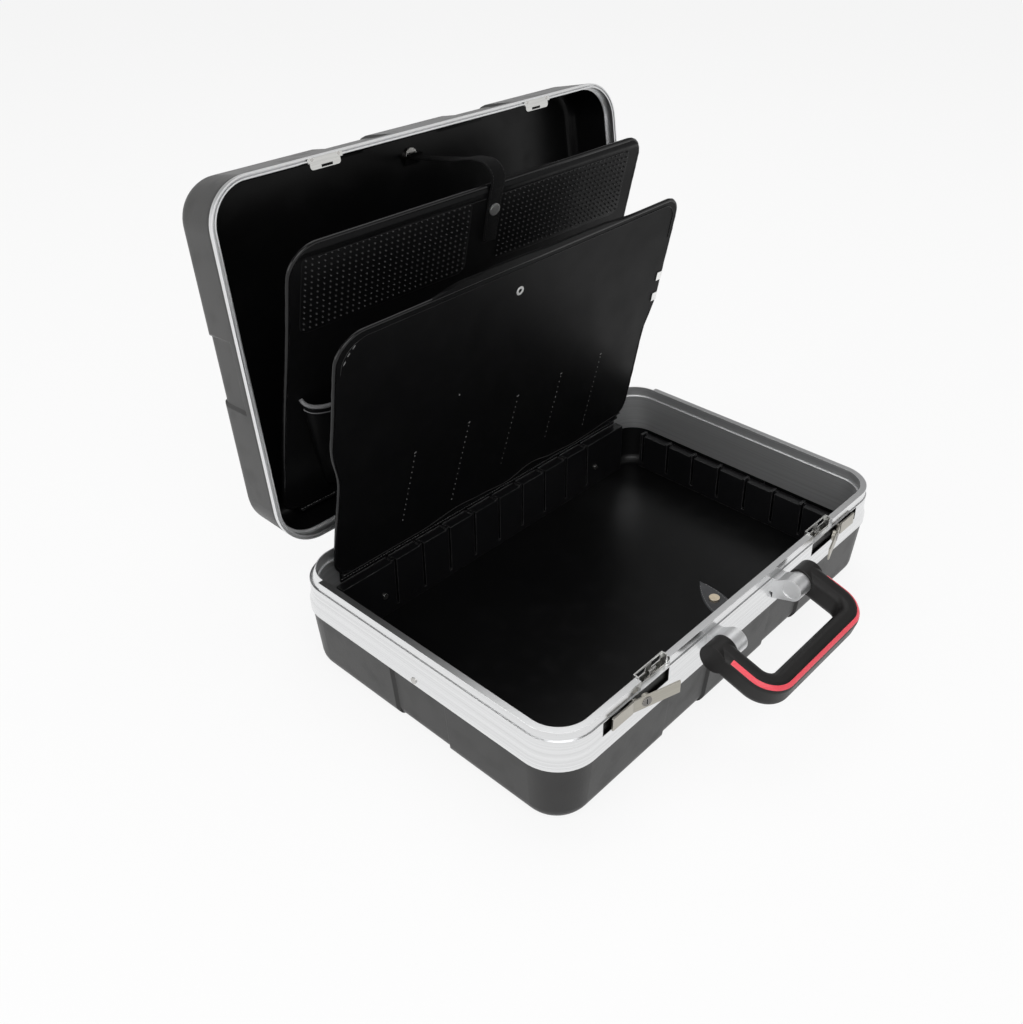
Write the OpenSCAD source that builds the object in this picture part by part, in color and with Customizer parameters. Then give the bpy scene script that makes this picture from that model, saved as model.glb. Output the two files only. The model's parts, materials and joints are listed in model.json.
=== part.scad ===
// Hard tool case: two moulded half-shells in aluminium frames, a carrying handle,
// two lever latches with key locks, slotted divider strips and two tool boards.
// Millimetres. +X runs along the hinge, -Y is the handle side, +Z is up.
// The origin is the middle of the underside. The lid is drawn closed and then swung open.

/* [Case] */
// Inside width of the frame opening
inner_w = 480; // [440:5:560]
// Inside depth of the frame opening, front to back
inner_d = 312; // [290:2:360]
// Radius of the opening's corners
corner_r = 30; // [26:1:36]
// Height of the base, up to the top of its tongue
base_h = 103; // [95:1:125]
// Height of the lid above its rim
lid_h = 62; // [58:1:75]
// Thickness of the moulded shell walls
wall = 2.6; // [2:0.1:3.2]
// Radius of the shells' outer edges
edge_r = 14; // [10:1:16]
// How far the base walls lean in from the frame to the floor
base_taper = 5.9; // [4:0.1:7]
// How far the lid walls lean in from the rim to the top
lid_taper = 5; // [3:0.1:6]

/* [Frames] */
// Width of the base frame's tongue
tongue_w = 6.15; // [5:0.05:7]
// Height of the tongue above the shoulder
tongue_h = 9; // [7:0.5:10]
// How far the base frame's bead stands out from the opening
bead_out = 8.6; // [8:0.1:10]
// Height of the base frame below the shoulder
band_h = 30; // [28:0.5:34]
// How far the inner skirt hangs below the tongue's top
skirt_h = 53.9; // [46:0.1:56]
// How far the lid rim stands out from the opening
rim_out = 10.6; // [9.8:0.1:12]
// Gap between the closed lid rim and the shoulder
rim_gap = 0.3; // [0.2:0.1:0.6]

/* [Opening] */
// Angle of the open lid
lid_open = 98.3; // [90:0.1:105]
// Forward lean of the front board
board_lean = 11; // [6:0.5:14]
// Angle between the lid board and the lid's back
lid_board_lean = 20.1; // [14:0.1:24]

/* [Dividers] */
// Height of the front and rear divider strips
divider_h = 59; // [50:1:62]
// Height of the side divider strips
side_divider_h = 43; // [38:1:46]
// Thickness of a divider strip
divider_t = 10; // [8:0.5:12]
// Distance between slots
slot_pitch = 36; // [30:1:40]
// Width of a slot
slot_w = 3; // [2:0.5:4]

/* [Boards] */
// Length of the front board from its hinge
board_front_l = 280; // [240:2:292]
// Length of the lid board from its hinge
board_lid_l = 284; // [240:2:288]
// Width of the boards
board_w = 446; // [400:2:450]
// Thickness of the boards
board_t = 3; // [2:0.5:4]

/* [Handle] */
// Width over the handle's legs
handle_w = 159; // [150:1:170]
// Distance from the handle's pivot to the middle of its grip
handle_reach = 53.3; // [50:0.5:60]
// Width of the handle's section
grip_w = 19; // [17:0.5:20]
// Height of the handle's section
grip_h = 26; // [22:0.5:27]
// How far the resting handle hangs below level
handle_droop = 16; // [8:1:20]
// Radius of the handle's pivot pins
handle_pin_r = 4; // [3:0.25:5]

/* [Latches] */
// Distance of a lever's hinge from the middle of the case
latch_x = 162; // [155:1:168]
// Length of a lever from its hinge
lever_l = 45; // [40:1:48]
// Height of a lever
lever_h = 13; // [11:0.5:13]
// Angle of the levers, half open
lever_open = 17; // [10:1:25]
// Radius of a lock cylinder
lock_r = 4.6; // [4:0.1:5]

/* [Hidden] */

abs_black = "#26282a";
aluminium = "#d9dcdf";
steel = "#b9b7ad";
board_black = "#161718";
soft_black = "#1f2021";
stripe_red = "#d8475a";

running_gap = 0.05;
soft_gap = 0.3;
cut = 1;
fine = 64;

half_w = inner_w / 2;
half_d = inner_d / 2;
corner_x = half_w - corner_r;
corner_y = half_d - corner_r;

// heights, from the underside of the base
tongue_top = base_h;
shoulder_z = tongue_top - tongue_h;
band_bottom = shoulder_z - band_h;
skirt_bottom = tongue_top - skirt_h;
rim_z = shoulder_z + rim_gap;
lid_top = rim_z + lid_h - rim_gap;

// lid hinge
hinge_y = half_d + 19;
hinge_z = tongue_top + 3.8;
hinge_pin_r = 2;
knuckle_r = 4.3;
hinge_x = 150;
leaf_w = 60;

// base frame section
face_out = bead_out - 1.6;
groove_z = shoulder_z - 16;
bead_z = groove_z - 6;
shell_out = bead_out - 1.4;
lip_h = 12;
skirt_t = 1.5;

// lid frame section
lid_shell_out = rim_out - 0.6;
lid_bead_h = 4.5;
groove_gap = 0.45;
lid_web_z = tongue_top + 0.6;
lid_web_t = 1.4;
lid_web_in = 4.2;
rim_groove = 7.8;
rim_groove_w = 1.6;
rim_groove_d = 2.5;

// pressed panels in the shell walls
panel_x = 78;
front_panel_w = 57;
side_panel_w = 62;
panel_depth = 2.2;
panel_slant = 3;
lid_panel_margin = 5.6;

// divider strips
strip_lift = 0.2;
strip_gap = 1;
strip_back = half_d - skirt_t - strip_gap;
side_back = half_w - skirt_t - strip_gap;
strip_tab = 3;
strip_tab_h = 1.6;
slot_floor = 6;
screw_x = 160;
screw_r = 3.2;
divider_top = wall + divider_h + strip_tab_h;

// boards
board_axis = [0, half_d - 6, base_h - 30];
lid_board_axis = [0, half_d - 4, lid_top - 19];
board_root_r = 2.2;
board_corner = 15;
lid_board_corner = 25;
board_foot_r = 14;
piping_r = 1.6;
piping_proud = 0.6;
hinge_strip_t = 2;
hinge_strip_in = 20;
lid_strip_h = 17.9;
stud_x = -11;
stud_from_top = 32;

// things on the boards
back_pockets = 4;
back_pocket_w = 62.5;
back_pocket_gap = 6;
back_pocket_h = 102;
back_pocket_t = 7;
back_pocket_lift = 24;
fitting_w = 8;
fitting_l = 10;
fitting_lifts = [163, 189];
field_w = 190;
field_h = 76;
field_x = 114;
field_t = 1.2;
field_from_top = 10;
pouch_w = 52;
pouch_mouth_t = 14;
pouch_h = 118;
pouch_wall = 1.6;
pouch_lift = 12;
pouch_x = pouch_w / 2 + 31 - board_w / 2;
loop_w = 16;
loop_t = 9;
loop_h = 14;
loop_lift = 150;
loop_from_pouch = pouch_w / 2 + 12;
strap_w = 18;
strap_t = 1.6;
strap_x = 8;
strap_drop = 60;
strap_off = board_t / 2 + piping_proud + soft_gap;

// closure tab on the front wall
tab_z = divider_top + soft_gap + 2;
tab_l = 58;
tab_w = 28;
tab_bow = 46;
tab_turn = 64.5;
tab_root = [-4, -half_d + skirt_t + 1.5, tab_z];

// handle
pivot = [0, -half_d - 26, base_h - 13.5];
leg_x = handle_w / 2 - grip_w / 2;
bend_r = 18;
section_r = 7;
bracket_out = leg_x - grip_w / 2 - soft_gap;
bracket_w = 17;
bracket_r = 11;
leg_end_r = grip_h / 2;

// latches
latch_z = shoulder_z - 1.4 - lever_h / 2;
plate_y = -half_d - 10;
plate_t = 1.6;
pan_outer = 37;
pan_inner = 48;
pan_depth = 3.4;
pan_floor = 1;
lever_pin_r = 1.1;
lever_knuckle_r = 2.2;
lever_pin_y = -half_d - 7.2;
lock_from_hinge = 12;
guide_x = latch_x - 30;
guide_w = 38;
guide_z = shoulder_z - 10;
guide_out = 3.2;
guide_sheet = 1;
guide_top = tongue_top + 1.5;
bolt_y = -half_d - 1.8;
bolt_t = 1.6;
catch_w = 36;
catch_r = 3;
catch_t = 1.4;
catch_step = 1;
catch_end = 1;

// ---- shared shapes ----

// sweeps a section (x outward from the opening, y up) along one side, 0 is +X, 1 is +Y and so on
module ring_side(side) {
    ahead = side % 2 == 0 ? [corner_x, corner_y] : [corner_y, corner_x];
    rotate([0, 0, 90 * side])
        translate([ahead[0], ahead[1], 0])
            rotate([90, 0, 0])
                linear_extrude(2 * ahead[1])
                    translate([corner_r, 0])
                        children();
}

// sweeps a section round the corner that follows a side
module ring_corner(side) {
    ahead = side % 2 == 0 ? [corner_x, corner_y] : [corner_y, corner_x];
    rotate([0, 0, 90 * side])
        translate([ahead[0], ahead[1], 0])
            rotate_extrude(angle = 90, $fn = fine)
                translate([corner_r, 0])
                    children();
}

// sweeps a section once round the case
module ring() {
    for (side = [0:3]) {
        ring_side(side)
            children();
        ring_corner(side)
            children();
    }
}

// points of an arc in a section
function arc(c, r, from, to, steps) =
    [for (i = [0:steps]) let (a = from + (to - from) * i / steps) [c[0] + r * cos(a), c[1] + r * sin(a)]];

// centre of the edge radius of a drafted wall that reaches rim_u at height h
function edge_centre(rim_u, taper, h) =
    [rim_u - taper + taper * edge_r / h - edge_r / cos(atan(taper / h)), edge_r];

// outer contour of a drafted wall: floor at 0, edge radius, then leaning out to rim_u and a straight lip
function shell_contour(rim_u, taper, h, lip) = concat(
    [[-corner_r, 0]],
    arc(edge_centre(rim_u, taper, h), edge_r, -90, -atan(taper / h), 7),
    [[rim_u, h], [rim_u, h + lip]]
);

module shell_section(rim_u, taper, h, lip) {
    thick = wall / cos(atan(taper / h));
    polygon(concat(
        shell_contour(rim_u, taper, h, lip),
        [[rim_u - thick, h + lip], [rim_u - thick, h]],
        arc(edge_centre(rim_u, taper, h), edge_r - wall, -atan(taper / h), -90, 7),
        [[-corner_r, wall]]
    ));
}

module shell(rim_u, taper, h, lip) {
    ring()
        shell_section(rim_u, taper, h, lip);
    translate([-corner_x, -corner_y, 0])
        cube([2 * corner_x, 2 * corner_y, wall]);
}

// upright band with slanted edges over a leaning front wall, down past the floor
module panel_band(width, rim_u, taper, h, top, grow) {
    half = width / 2 + grow;
    translate([0, -half_d - rim_u, h])
        rotate([atan(taper / h), 0, 0])
            translate([0, 0, -h - edge_r])
                linear_extrude(h + edge_r + top)
                    polygon([
                        [-half - panel_slant, -wall],
                        [half + panel_slant, -wall],
                        [half + panel_slant, 0],
                        [half, panel_depth],
                        [half, 2 * edge_r],
                        [-half, 2 * edge_r],
                        [-half, panel_depth],
                        [-half - panel_slant, 0]
                    ]);
}

// outline from y = 0 up to l, centred on x = 0, with top corners r and foot corners foot_r
module plate_outline(w, l, r, foot_r) {
    for (side = [-1, 1]) {
        translate([side * (w / 2 - r), l - r])
            circle(r, $fn = fine);
        translate([side * (w / 2 - foot_r), foot_r])
            circle(foot_r, $fn = fine);
    }
    translate([-w / 2, foot_r])
        square([w, l - r - foot_r]);
    translate([-w / 2 + r, foot_r])
        square([w - 2 * r, l - foot_r]);
    translate([-w / 2 + foot_r, 0])
        square([w - 2 * foot_r, l - r]);
}

// the lid's parts are drawn closed; this swings them open about the hinge
module lid_pose() {
    translate([0, hinge_y, hinge_z])
        rotate([-lid_open, 0, 0])
            translate([0, -hinge_y, -hinge_z])
                children();
}

// the front board's parts are drawn upright on its hinge line, facing -Y
module board_front_pose() {
    translate(board_axis)
        rotate([board_lean, 0, 0])
            children();
}

// the lid board's parts are drawn upright on its hinge line, facing -Y
module board_lid_pose() {
    lid_pose()
        translate(lid_board_axis)
            rotate([90 + lid_board_lean, 0, 0])
                children();
}

// ---- base ----

// the tongue narrows upward to tip_w; along the hinge side the lid rim swings past it
module frame_section(tip_w, foot_w) {
    polygon([
        [0, tongue_top],
        [tip_w, tongue_top],
        [foot_w, shoulder_z],
        [face_out, shoulder_z],
        [face_out, groove_z],
        [bead_out, bead_z],
        [bead_out, band_bottom],
        [shell_out, band_bottom],
        [shell_out, band_bottom + lip_h],
        [0, band_bottom + lip_h],
        [0, skirt_bottom],
        [-skirt_t, skirt_bottom],
        [-skirt_t, tongue_top - 11.3],
        [0, tongue_top - 11.3]
    ]);
}

// two bands on the front wall and one on each side wall
module panel_bands(rim_u, taper, h, top, grow) {
    for (side = [-1, 1]) {
        translate([side * panel_x, 0, 0])
            panel_band(front_panel_w, rim_u, taper, h, top, grow);
        rotate([0, 0, 90 * side])
            translate([0, half_d - half_w, 0])
                panel_band(side_panel_w, rim_u, taper, h, top, grow);
    }
}

module panel_walls() {
    for (side = [0, 2, 3])
        ring_side(side)
            children();
}

// shell with pressed panels, which start a margin below the straight lip and run out round the edge
module pressed_shell(rim_u, taper, h, lip, margin) {
    panel_u = rim_u - panel_depth;
    difference() {
        union() {
            shell(rim_u, taper, h, lip);
            intersection() {
                panel_bands(rim_u, taper, h, wall - margin, wall);
                panel_walls()
                    shell_section(panel_u, taper, h, wall);
            }
        }
        difference() {
            panel_bands(rim_u, taper, h, -margin, 0);
            panel_walls()
                polygon(concat(shell_contour(panel_u, taper, h, lip), [[-corner_r, h + lip]]));
        }
    }
}

module base_shell() {
    color(abs_black)
        pressed_shell(shell_out, base_taper, band_bottom, lip_h, 0);
}

module latch_pocket() {
    translate([latch_x - pan_inner, -half_d - face_out - 4, latch_z - lever_h / 2 - 0.6])
        cube([pan_inner + pan_outer, pan_depth + 4, lever_h + 1.2]);
}

// seat of the hook guide in the frame, and the gap in the tongue for the catch
module guide_notch() {
    translate([guide_x - guide_w / 2, -half_d - guide_out, guide_z])
        cube([guide_w, guide_out + skirt_t + 1, tongue_top - guide_z + 1]);
    translate([guide_x - guide_w / 2, -half_d - face_out - 1, shoulder_z])
        cube([guide_w, face_out + 1, tongue_h + 1]);
}

module both_sides() {
    children();
    mirror([1, 0, 0])
        children();
}

module base_frame() {
    color(aluminium)
        difference() {
            union() {
                for (side = [0, 2, 3])
                    ring_side(side)
                        frame_section(tongue_w, tongue_w);
                for (side = [2, 3])
                    ring_corner(side)
                        frame_section(tongue_w, tongue_w);
                ring_side(1)
                    frame_section(1, 5);
                for (side = [0, 1])
                    ring_corner(side)
                        frame_section(1, 5);
            }
            both_sides() {
                latch_pocket();
                guide_notch();
            }
        }
}

// strip drawn along X, its back at y = 0 and its face at -divider_t
module divider(length, h, slots) {
    heel = divider_t + 1.4;
    difference() {
        union() {
            rotate([90, 0, 90])
                translate([0, 0, -length / 2])
                    linear_extrude(length)
                        polygon([
                            [-divider_t, wall + strip_lift],
                            [-divider_t, wall + h],
                            [0, wall + h],
                            [0, wall + heel]
                        ]);
            for (x = slots)
                translate([x - slot_w / 2 - strip_tab, -divider_t, wall + h])
                    cube([strip_tab, divider_t, strip_tab_h]);
        }
        for (x = slots)
            translate([x - slot_w / 2, -divider_t - cut, wall + slot_floor])
                cube([slot_w, divider_t * 0.7 + cut, h]);
    }
}

long_strip = 2 * corner_x - 4;
side_strip = 2 * corner_y + 9;
long_last = floor((long_strip / 2 - 50) / slot_pitch);
side_last = floor((side_strip / 2 - 4) / slot_pitch - 0.5);
long_slots = [for (i = [-long_last:long_last]) i * slot_pitch];
side_slots = [for (i = [-side_last - 0.5:side_last + 0.5]) i * slot_pitch];

module divider_rear() {
    color(soft_black)
        translate([0, strip_back, 0])
            divider(long_strip, divider_h, long_slots);
}

module divider_front() {
    color(soft_black)
        rotate([0, 0, 180])
            translate([0, strip_back, 0])
                divider(long_strip, divider_h, long_slots);
}

module divider_side() {
    translate([side_back, 0, 0])
        rotate([0, 0, -90])
            divider(side_strip, side_divider_h, side_slots);
}

module divider_left() {
    color(soft_black)
        rotate([0, 0, 180])
            divider_side();
}

module divider_right() {
    color(soft_black)
        divider_side();
}

module divider_screws() {
    color(steel)
        for (turn = [0, 180])
            rotate([0, 0, turn])
                for (x = [-screw_x, screw_x])
                    translate([x, strip_back - divider_t, wall + 24])
                        rotate([90, 0, 0])
                            cylinder(h = 1.2, r = screw_r, $fn = fine);
}

module frame_rivets() {
    color(steel)
        for (side = [-1, 1])
            translate([side * (half_w + bead_out), 0, band_bottom + 5])
                rotate([0, side * 90, 0])
                    cylinder(h = 1, r = 3, $fn = fine);
}

// ---- handle ----

module handle_bracket() {
    difference() {
        translate([bracket_out - bracket_w, 0, 0])
            rotate([90, 0, 90])
                linear_extrude(bracket_w)
                    union() {
                        translate([pivot[1], pivot[2]])
                            circle(bracket_r, $fn = fine);
                        polygon([
                            [-half_d - face_out, pivot[2] - 18],
                            [-half_d - face_out, shoulder_z - 0.6],
                            [-half_d - rim_out - 1, shoulder_z - 0.6],
                            [pivot[1] + 4, pivot[2] + bracket_r - 0.8],
                            [pivot[1], pivot[2]],
                            [pivot[1] - 2, pivot[2] - bracket_r + 0.2]
                        ]);
                    }
        // bead clearance and shallow round face on the inner end
        translate([bracket_out - bracket_w - 1, -half_d - bead_out - 0.01, band_bottom])
            cube([bracket_w + 2, bead_out, groove_z - band_bottom]);
        translate([bracket_out - bracket_w - 1, pivot[1], pivot[2]])
            rotate([0, 90, 0])
                cylinder(h = 2, r = bracket_r - 2.4, $fn = fine);
        translate([bracket_out - 10, pivot[1], pivot[2]])
            rotate([0, 90, 0])
                cylinder(h = 11, r = handle_pin_r, $fn = fine);
    }
}

module handle_bracket_left() {
    color(aluminium)
        mirror([1, 0, 0])
            handle_bracket();
}

module handle_bracket_right() {
    color(aluminium)
        handle_bracket();
}

module handle_pins() {
    color(steel)
        both_sides()
            translate([bracket_out - 10, pivot[1], pivot[2]])
                rotate([0, 90, 0])
                    cylinder(h = 22, r = handle_pin_r, $fn = fine);
}

// sweeps a section (x away from the finger gap, y up) along the handle's U path
module handle_path(from) {
    bar = handle_reach - bend_r;
    for (side = [0, 1])
        mirror([side, 0, 0]) {
            translate([leg_x, -from, 0])
                rotate([90, 0, 0])
                    linear_extrude(bar - from)
                        children();
            translate([leg_x - bend_r, -bar, 0])
                rotate([0, 0, -90])
                    rotate_extrude(angle = 90, $fn = fine)
                        translate([bend_r, 0])
                            children();
            translate([0, -handle_reach, 0])
                rotate([0, 0, -90])
                    rotate([90, 0, 0])
                        translate([0, 0, -(leg_x - bend_r)])
                            linear_extrude(leg_x - bend_r)
                                children();
        }
}

module grip_section() {
    union() {
        square([grip_w - 2 * section_r, grip_h], center = true);
        square([grip_w, grip_h - 2 * section_r], center = true);
        for (x = [-1, 1], y = [-1, 1])
            translate([x * (grip_w / 2 - section_r), y * (grip_h / 2 - section_r)])
                circle(section_r, $fn = fine);
    }
}

module stripe_section() {
    c = [grip_w / 2 - section_r, grip_h / 2 - section_r];
    polygon(concat(
        arc(c, section_r + 0.3, 30, 66, 4),
        arc(c, section_r - 1.4, 66, 30, 4)
    ));
}

module handle_pose() {
    translate(pivot)
        rotate([handle_droop, 0, 0])
            children();
}

stripe_from = 15;

module handle_grip() {
    color(soft_black)
        handle_pose()
            difference() {
                union() {
                    handle_path(0)
                        grip_section();
                    both_sides()
                        translate([leg_x - grip_w / 2, 0, 0])
                            rotate([0, 90, 0])
                                cylinder(h = grip_w, r = leg_end_r, $fn = fine);
                }
                handle_path(stripe_from)
                    stripe_section();
                both_sides()
                    translate([leg_x - grip_w / 2 - 1, 0, 0])
                        rotate([0, 90, 0])
                            cylinder(h = 14, r = handle_pin_r + running_gap, $fn = fine);
            }
}

module handle_stripe() {
    color(stripe_red)
        handle_pose()
            handle_path(stripe_from)
                stripe_section();
}

// ---- latches ----

module latch_pan() {
    difference() {
        intersection() {
            latch_pocket();
            translate([latch_x - pan_inner, -half_d - face_out, 0])
                cube([pan_inner + pan_outer, face_out, shoulder_z]);
        }
        translate([latch_x - pan_inner + 1, -half_d - face_out - 1, latch_z - lever_h / 2])
            cube([pan_inner + pan_outer - 2, pan_depth - pan_floor + 1, lever_h]);
    }
    // fixed outer plate, flush with the closed lever
    translate([latch_x + 2.6, plate_y, latch_z - lever_h / 2 + 0.4])
        cube([25.4, plate_t, lever_h - 0.8]);
    for (x = [latch_x + 3, latch_x + 24])
        translate([x, plate_y, latch_z - lever_h / 2 + 0.4])
            cube([3, 10 - face_out + pan_depth - pan_floor + 0.2, lever_h - 0.8]);
}

module latch_pan_left() {
    color(steel)
        mirror([1, 0, 0])
            latch_pan();
}

module latch_pan_right() {
    color(steel)
        latch_pan();
}

module lever_pins() {
    color(steel)
        both_sides()
            translate([latch_x, lever_pin_y, latch_z - lever_h / 2])
                cylinder(h = lever_h, r = lever_pin_r, $fn = fine);
}

// drawn on the hinge pin, along -X, closed
module lever_pose() {
    translate([latch_x, lever_pin_y, latch_z])
        rotate([0, 0, lever_open])
            children();
}

plate_from_pin = plate_y - lever_pin_y;

module latch_lever() {
    lever_pose()
        difference() {
            union() {
                translate([-lever_l, plate_from_pin, -lever_h / 2 + 0.4])
                    cube([lever_l + 1, plate_t, lever_h - 0.8]);
                cylinder(h = lever_h - 0.8, r = lever_knuckle_r, center = true, $fn = fine);
                translate([-lever_knuckle_r, plate_from_pin + 0.5, -lever_h / 2 + 0.4])
                    cube([lever_knuckle_r, -plate_from_pin - 0.5, lever_h - 0.8]);
                translate([-lock_from_hinge, plate_from_pin, 0])
                    rotate([-90, 0, 0])
                        cylinder(h = 4.6, r = lock_r + 0.9, $fn = fine);
            }
            cylinder(h = lever_h + 2, r = lever_pin_r + running_gap, center = true, $fn = fine);
            translate([-lock_from_hinge, plate_from_pin - 1, 0])
                rotate([-90, 0, 0])
                    cylinder(h = 8, r = lock_r + running_gap, $fn = fine);
        }
}

module latch_lever_left() {
    color(steel)
        mirror([1, 0, 0])
            latch_lever();
}

module latch_lever_right() {
    color(steel)
        latch_lever();
}

module lock_cylinder() {
    lever_pose()
        translate([-lock_from_hinge, plate_from_pin - 0.4, 0])
            rotate([-90, 0, 0])
                difference() {
                    cylinder(h = 4.8, r = lock_r, $fn = fine);
                    translate([-0.7, -2.6, -1])
                        cube([1.4, 5.2, 4]);
                }
}

module lock_cylinder_left() {
    color(steel)
        mirror([1, 0, 0])
            lock_cylinder();
}

module lock_cylinder_right() {
    color(steel)
        lock_cylinder();
}

// steel cage let into the frame behind the tongue's gap, open above, low in front, with two windows
module hook_guide() {
    depth = guide_out + 2.5;
    translate([guide_x - guide_w / 2, -half_d - guide_out, guide_z])
        difference() {
            cube([guide_w, depth, guide_top - guide_z]);
            translate([guide_sheet, guide_sheet, guide_sheet])
                cube([guide_w - 2 * guide_sheet, depth - 2 * guide_sheet, guide_top - guide_z]);
            translate([guide_sheet, -1, shoulder_z + 0.5 - guide_z])
                cube([guide_w - 2 * guide_sheet, depth - guide_sheet + 1, guide_top - guide_z]);
            for (x = [3, guide_w / 2 + 4])
                translate([x, depth / 2, shoulder_z + 3 - guide_z])
                    cube([guide_w / 2 - 7, depth, tongue_h - 3]);
        }
}

module hook_guide_left() {
    color(steel)
        mirror([1, 0, 0])
            hook_guide();
}

module hook_guide_right() {
    color(steel)
        hook_guide();
}

// sliding hook inside the cage; it stands in the catch's window and moves inward to hold it
module latch_bolt() {
    body_h = shoulder_z - 1 - guide_z - guide_sheet - soft_gap;
    stem_top = rim_z + catch_step + catch_t + soft_gap;
    translate([guide_x, bolt_y, guide_z + guide_sheet + soft_gap])
        union() {
            translate([-7, 0, 0])
                cube([14, bolt_t, body_h]);
            translate([-2, 0, 0])
                cube([4, bolt_t, stem_top + 2 - guide_z - guide_sheet - soft_gap]);
            translate([-6.5, 0, stem_top - guide_z - guide_sheet - soft_gap])
                cube([8.5, bolt_t, 2]);
        }
}

module latch_bolt_left() {
    color(steel)
        mirror([1, 0, 0])
            latch_bolt();
}

module latch_bolt_right() {
    color(steel)
        latch_bolt();
}

// ---- lid hinges ----

module hinge_leaf_base() {
    plate_t = 2;
    out = half_d + rim_out + 1.6;
    difference() {
        union() {
            translate([hinge_x - leaf_w / 2, out, band_bottom + 6])
                cube([leaf_w, plate_t, hinge_z - band_bottom - 6]);
            translate([hinge_x - leaf_w / 2, half_d + bead_out, band_bottom + 1])
                cube([leaf_w, out - half_d - bead_out + plate_t, 7]);
            translate([hinge_x - leaf_w / 2, out, hinge_z - knuckle_r])
                cube([leaf_w, hinge_y - out, 2 * knuckle_r - 4.3]);
            translate([hinge_x - leaf_w / 2, hinge_y, hinge_z])
                rotate([0, 90, 0])
                    cylinder(h = leaf_w, r = knuckle_r, $fn = fine);
        }
        translate([hinge_x - leaf_w / 2 - 1, hinge_y, hinge_z])
            rotate([0, 90, 0])
                cylinder(h = leaf_w + 2, r = hinge_pin_r, $fn = fine);
        translate([hinge_x - leaf_w / 6 - 0.4, half_d + rim_out + 1, hinge_z - knuckle_r - 1.2])
            cube([leaf_w / 3 + 0.8, 30, 2 * knuckle_r + 4]);
    }
}

module hinge_leaf_base_left() {
    color(aluminium)
        mirror([1, 0, 0])
            hinge_leaf_base();
}

module hinge_leaf_base_right() {
    color(aluminium)
        hinge_leaf_base();
}

module hinge_pins() {
    color(steel)
        both_sides()
            translate([hinge_x - leaf_w / 2 - 0.6, hinge_y, hinge_z])
                rotate([0, 90, 0])
                    cylinder(h = leaf_w + 1.2, r = hinge_pin_r, $fn = fine);
}

module hinge_leaf_lid() {
    knuckle_w = leaf_w / 3;
    lid_pose()
        difference() {
            union() {
                translate([hinge_x - knuckle_w / 2, hinge_y, hinge_z])
                    rotate([0, 90, 0])
                        cylinder(h = knuckle_w, r = knuckle_r, $fn = fine);
                translate([hinge_x - knuckle_w / 2, half_d + 10.2, hinge_z - 1])
                    cube([knuckle_w, hinge_y - half_d - 10.2, knuckle_r + 1]);
                translate([hinge_x - leaf_w / 2, half_d + 10.2, hinge_z + knuckle_r + 1.2])
                    cube([leaf_w, 2, 24]);
                translate([hinge_x - knuckle_w / 2, half_d + 10.2, hinge_z - 1])
                    cube([knuckle_w, 2, 12]);
            }
            translate([hinge_x - leaf_w, hinge_y, hinge_z])
                rotate([0, 90, 0])
                    cylinder(h = 2 * leaf_w, r = hinge_pin_r + running_gap, $fn = fine);
        }
}

module hinge_leaf_lid_left() {
    color(aluminium)
        mirror([1, 0, 0])
            hinge_leaf_lid();
}

module hinge_leaf_lid_right() {
    color(aluminium)
        hinge_leaf_lid();
}

// ---- lid ----

// grooved rim that shuts outside the tongue, with a web over the tongue's top
module lid_section() {
    leg = tongue_w + groove_gap;
    back = lid_shell_out - wall - 0.3;
    difference() {
        polygon([
            [rim_out, rim_z],
            [rim_out, rim_z + lid_bead_h],
            [back, rim_z + lid_bead_h],
            [back, lid_web_z + lid_web_t],
            [lid_web_in, lid_web_z + lid_web_t],
            [lid_web_in, lid_web_z],
            [leg, lid_web_z],
            [leg, rim_z]
        ]);
        translate([rim_groove, rim_z - cut])
            square([rim_groove_w, rim_groove_d + cut]);
    }
}

module lid_frame() {
    color(aluminium)
        lid_pose()
            difference() {
                ring()
                    lid_section();
                both_sides()
                    catch_body(0.02);
            }
}

module lid_shell() {
    color(abs_black)
        lid_pose()
            translate([0, 0, lid_top])
                mirror([0, 0, 1])
                    pressed_shell(lid_shell_out, lid_taper, lid_top - rim_z - lid_bead_h - 4, 4, lid_panel_margin);
}

// stepped steel plate let into the rim; its window drops over the hook
module catch_body(grow) {
    half = catch_w / 2 - 2 + grow;
    reach = tongue_w + 0.9 + catch_end;
    translate([guide_x - catch_w / 2 - grow, -half_d - rim_out + 1, rim_z - grow])
        cube([catch_w + 2 * grow, 4.6, catch_t + grow]);
    translate([guide_x, -half_d - tongue_w - 0.9, rim_z + catch_step])
        linear_extrude(catch_t) {
            translate([-half, 0])
                square([2 * half, reach - catch_r]);
            translate([-half + catch_r, 0])
                square([2 * (half - catch_r), reach]);
            for (side = [-1, 1])
                translate([side * (half - catch_r), reach - catch_r])
                    circle(catch_r, $fn = fine);
        }
}

module lid_catch() {
    lid_pose()
        difference() {
            catch_body(0);
            translate([guide_x - 7.5, bolt_y - soft_gap, rim_z - 1])
                cube([12, bolt_t + 2 * soft_gap, 10]);
        }
}

module lid_catch_left() {
    color(steel)
        mirror([1, 0, 0])
            lid_catch();
}

module lid_catch_right() {
    color(steel)
        lid_catch();
}

module catch_rivets() {
    color(steel)
        lid_pose()
            both_sides()
                for (x = [-14, 14])
                    translate([guide_x + x, -half_d - rim_out + 2.6, rim_z - 0.2])
                        cylinder(h = 0.2, r = 1.4, $fn = fine);
}

module lid_board_hinge() {
    color(soft_black)
        lid_pose()
            translate([hinge_strip_in - board_w / 2, lid_board_axis[1] + board_root_r + soft_gap, lid_board_axis[2] - 6])
                cube([board_w - 2 * hinge_strip_in, hinge_strip_t, lid_strip_h]);
}

module strap_anchor() {
    color(steel)
        lid_pose()
            translate([strap_x, lid_board_axis[1] - board_lid_l, lid_top - wall - 3])
                cylinder(h = 3, r = 7, $fn = fine);
}

// ---- front board ----

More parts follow.
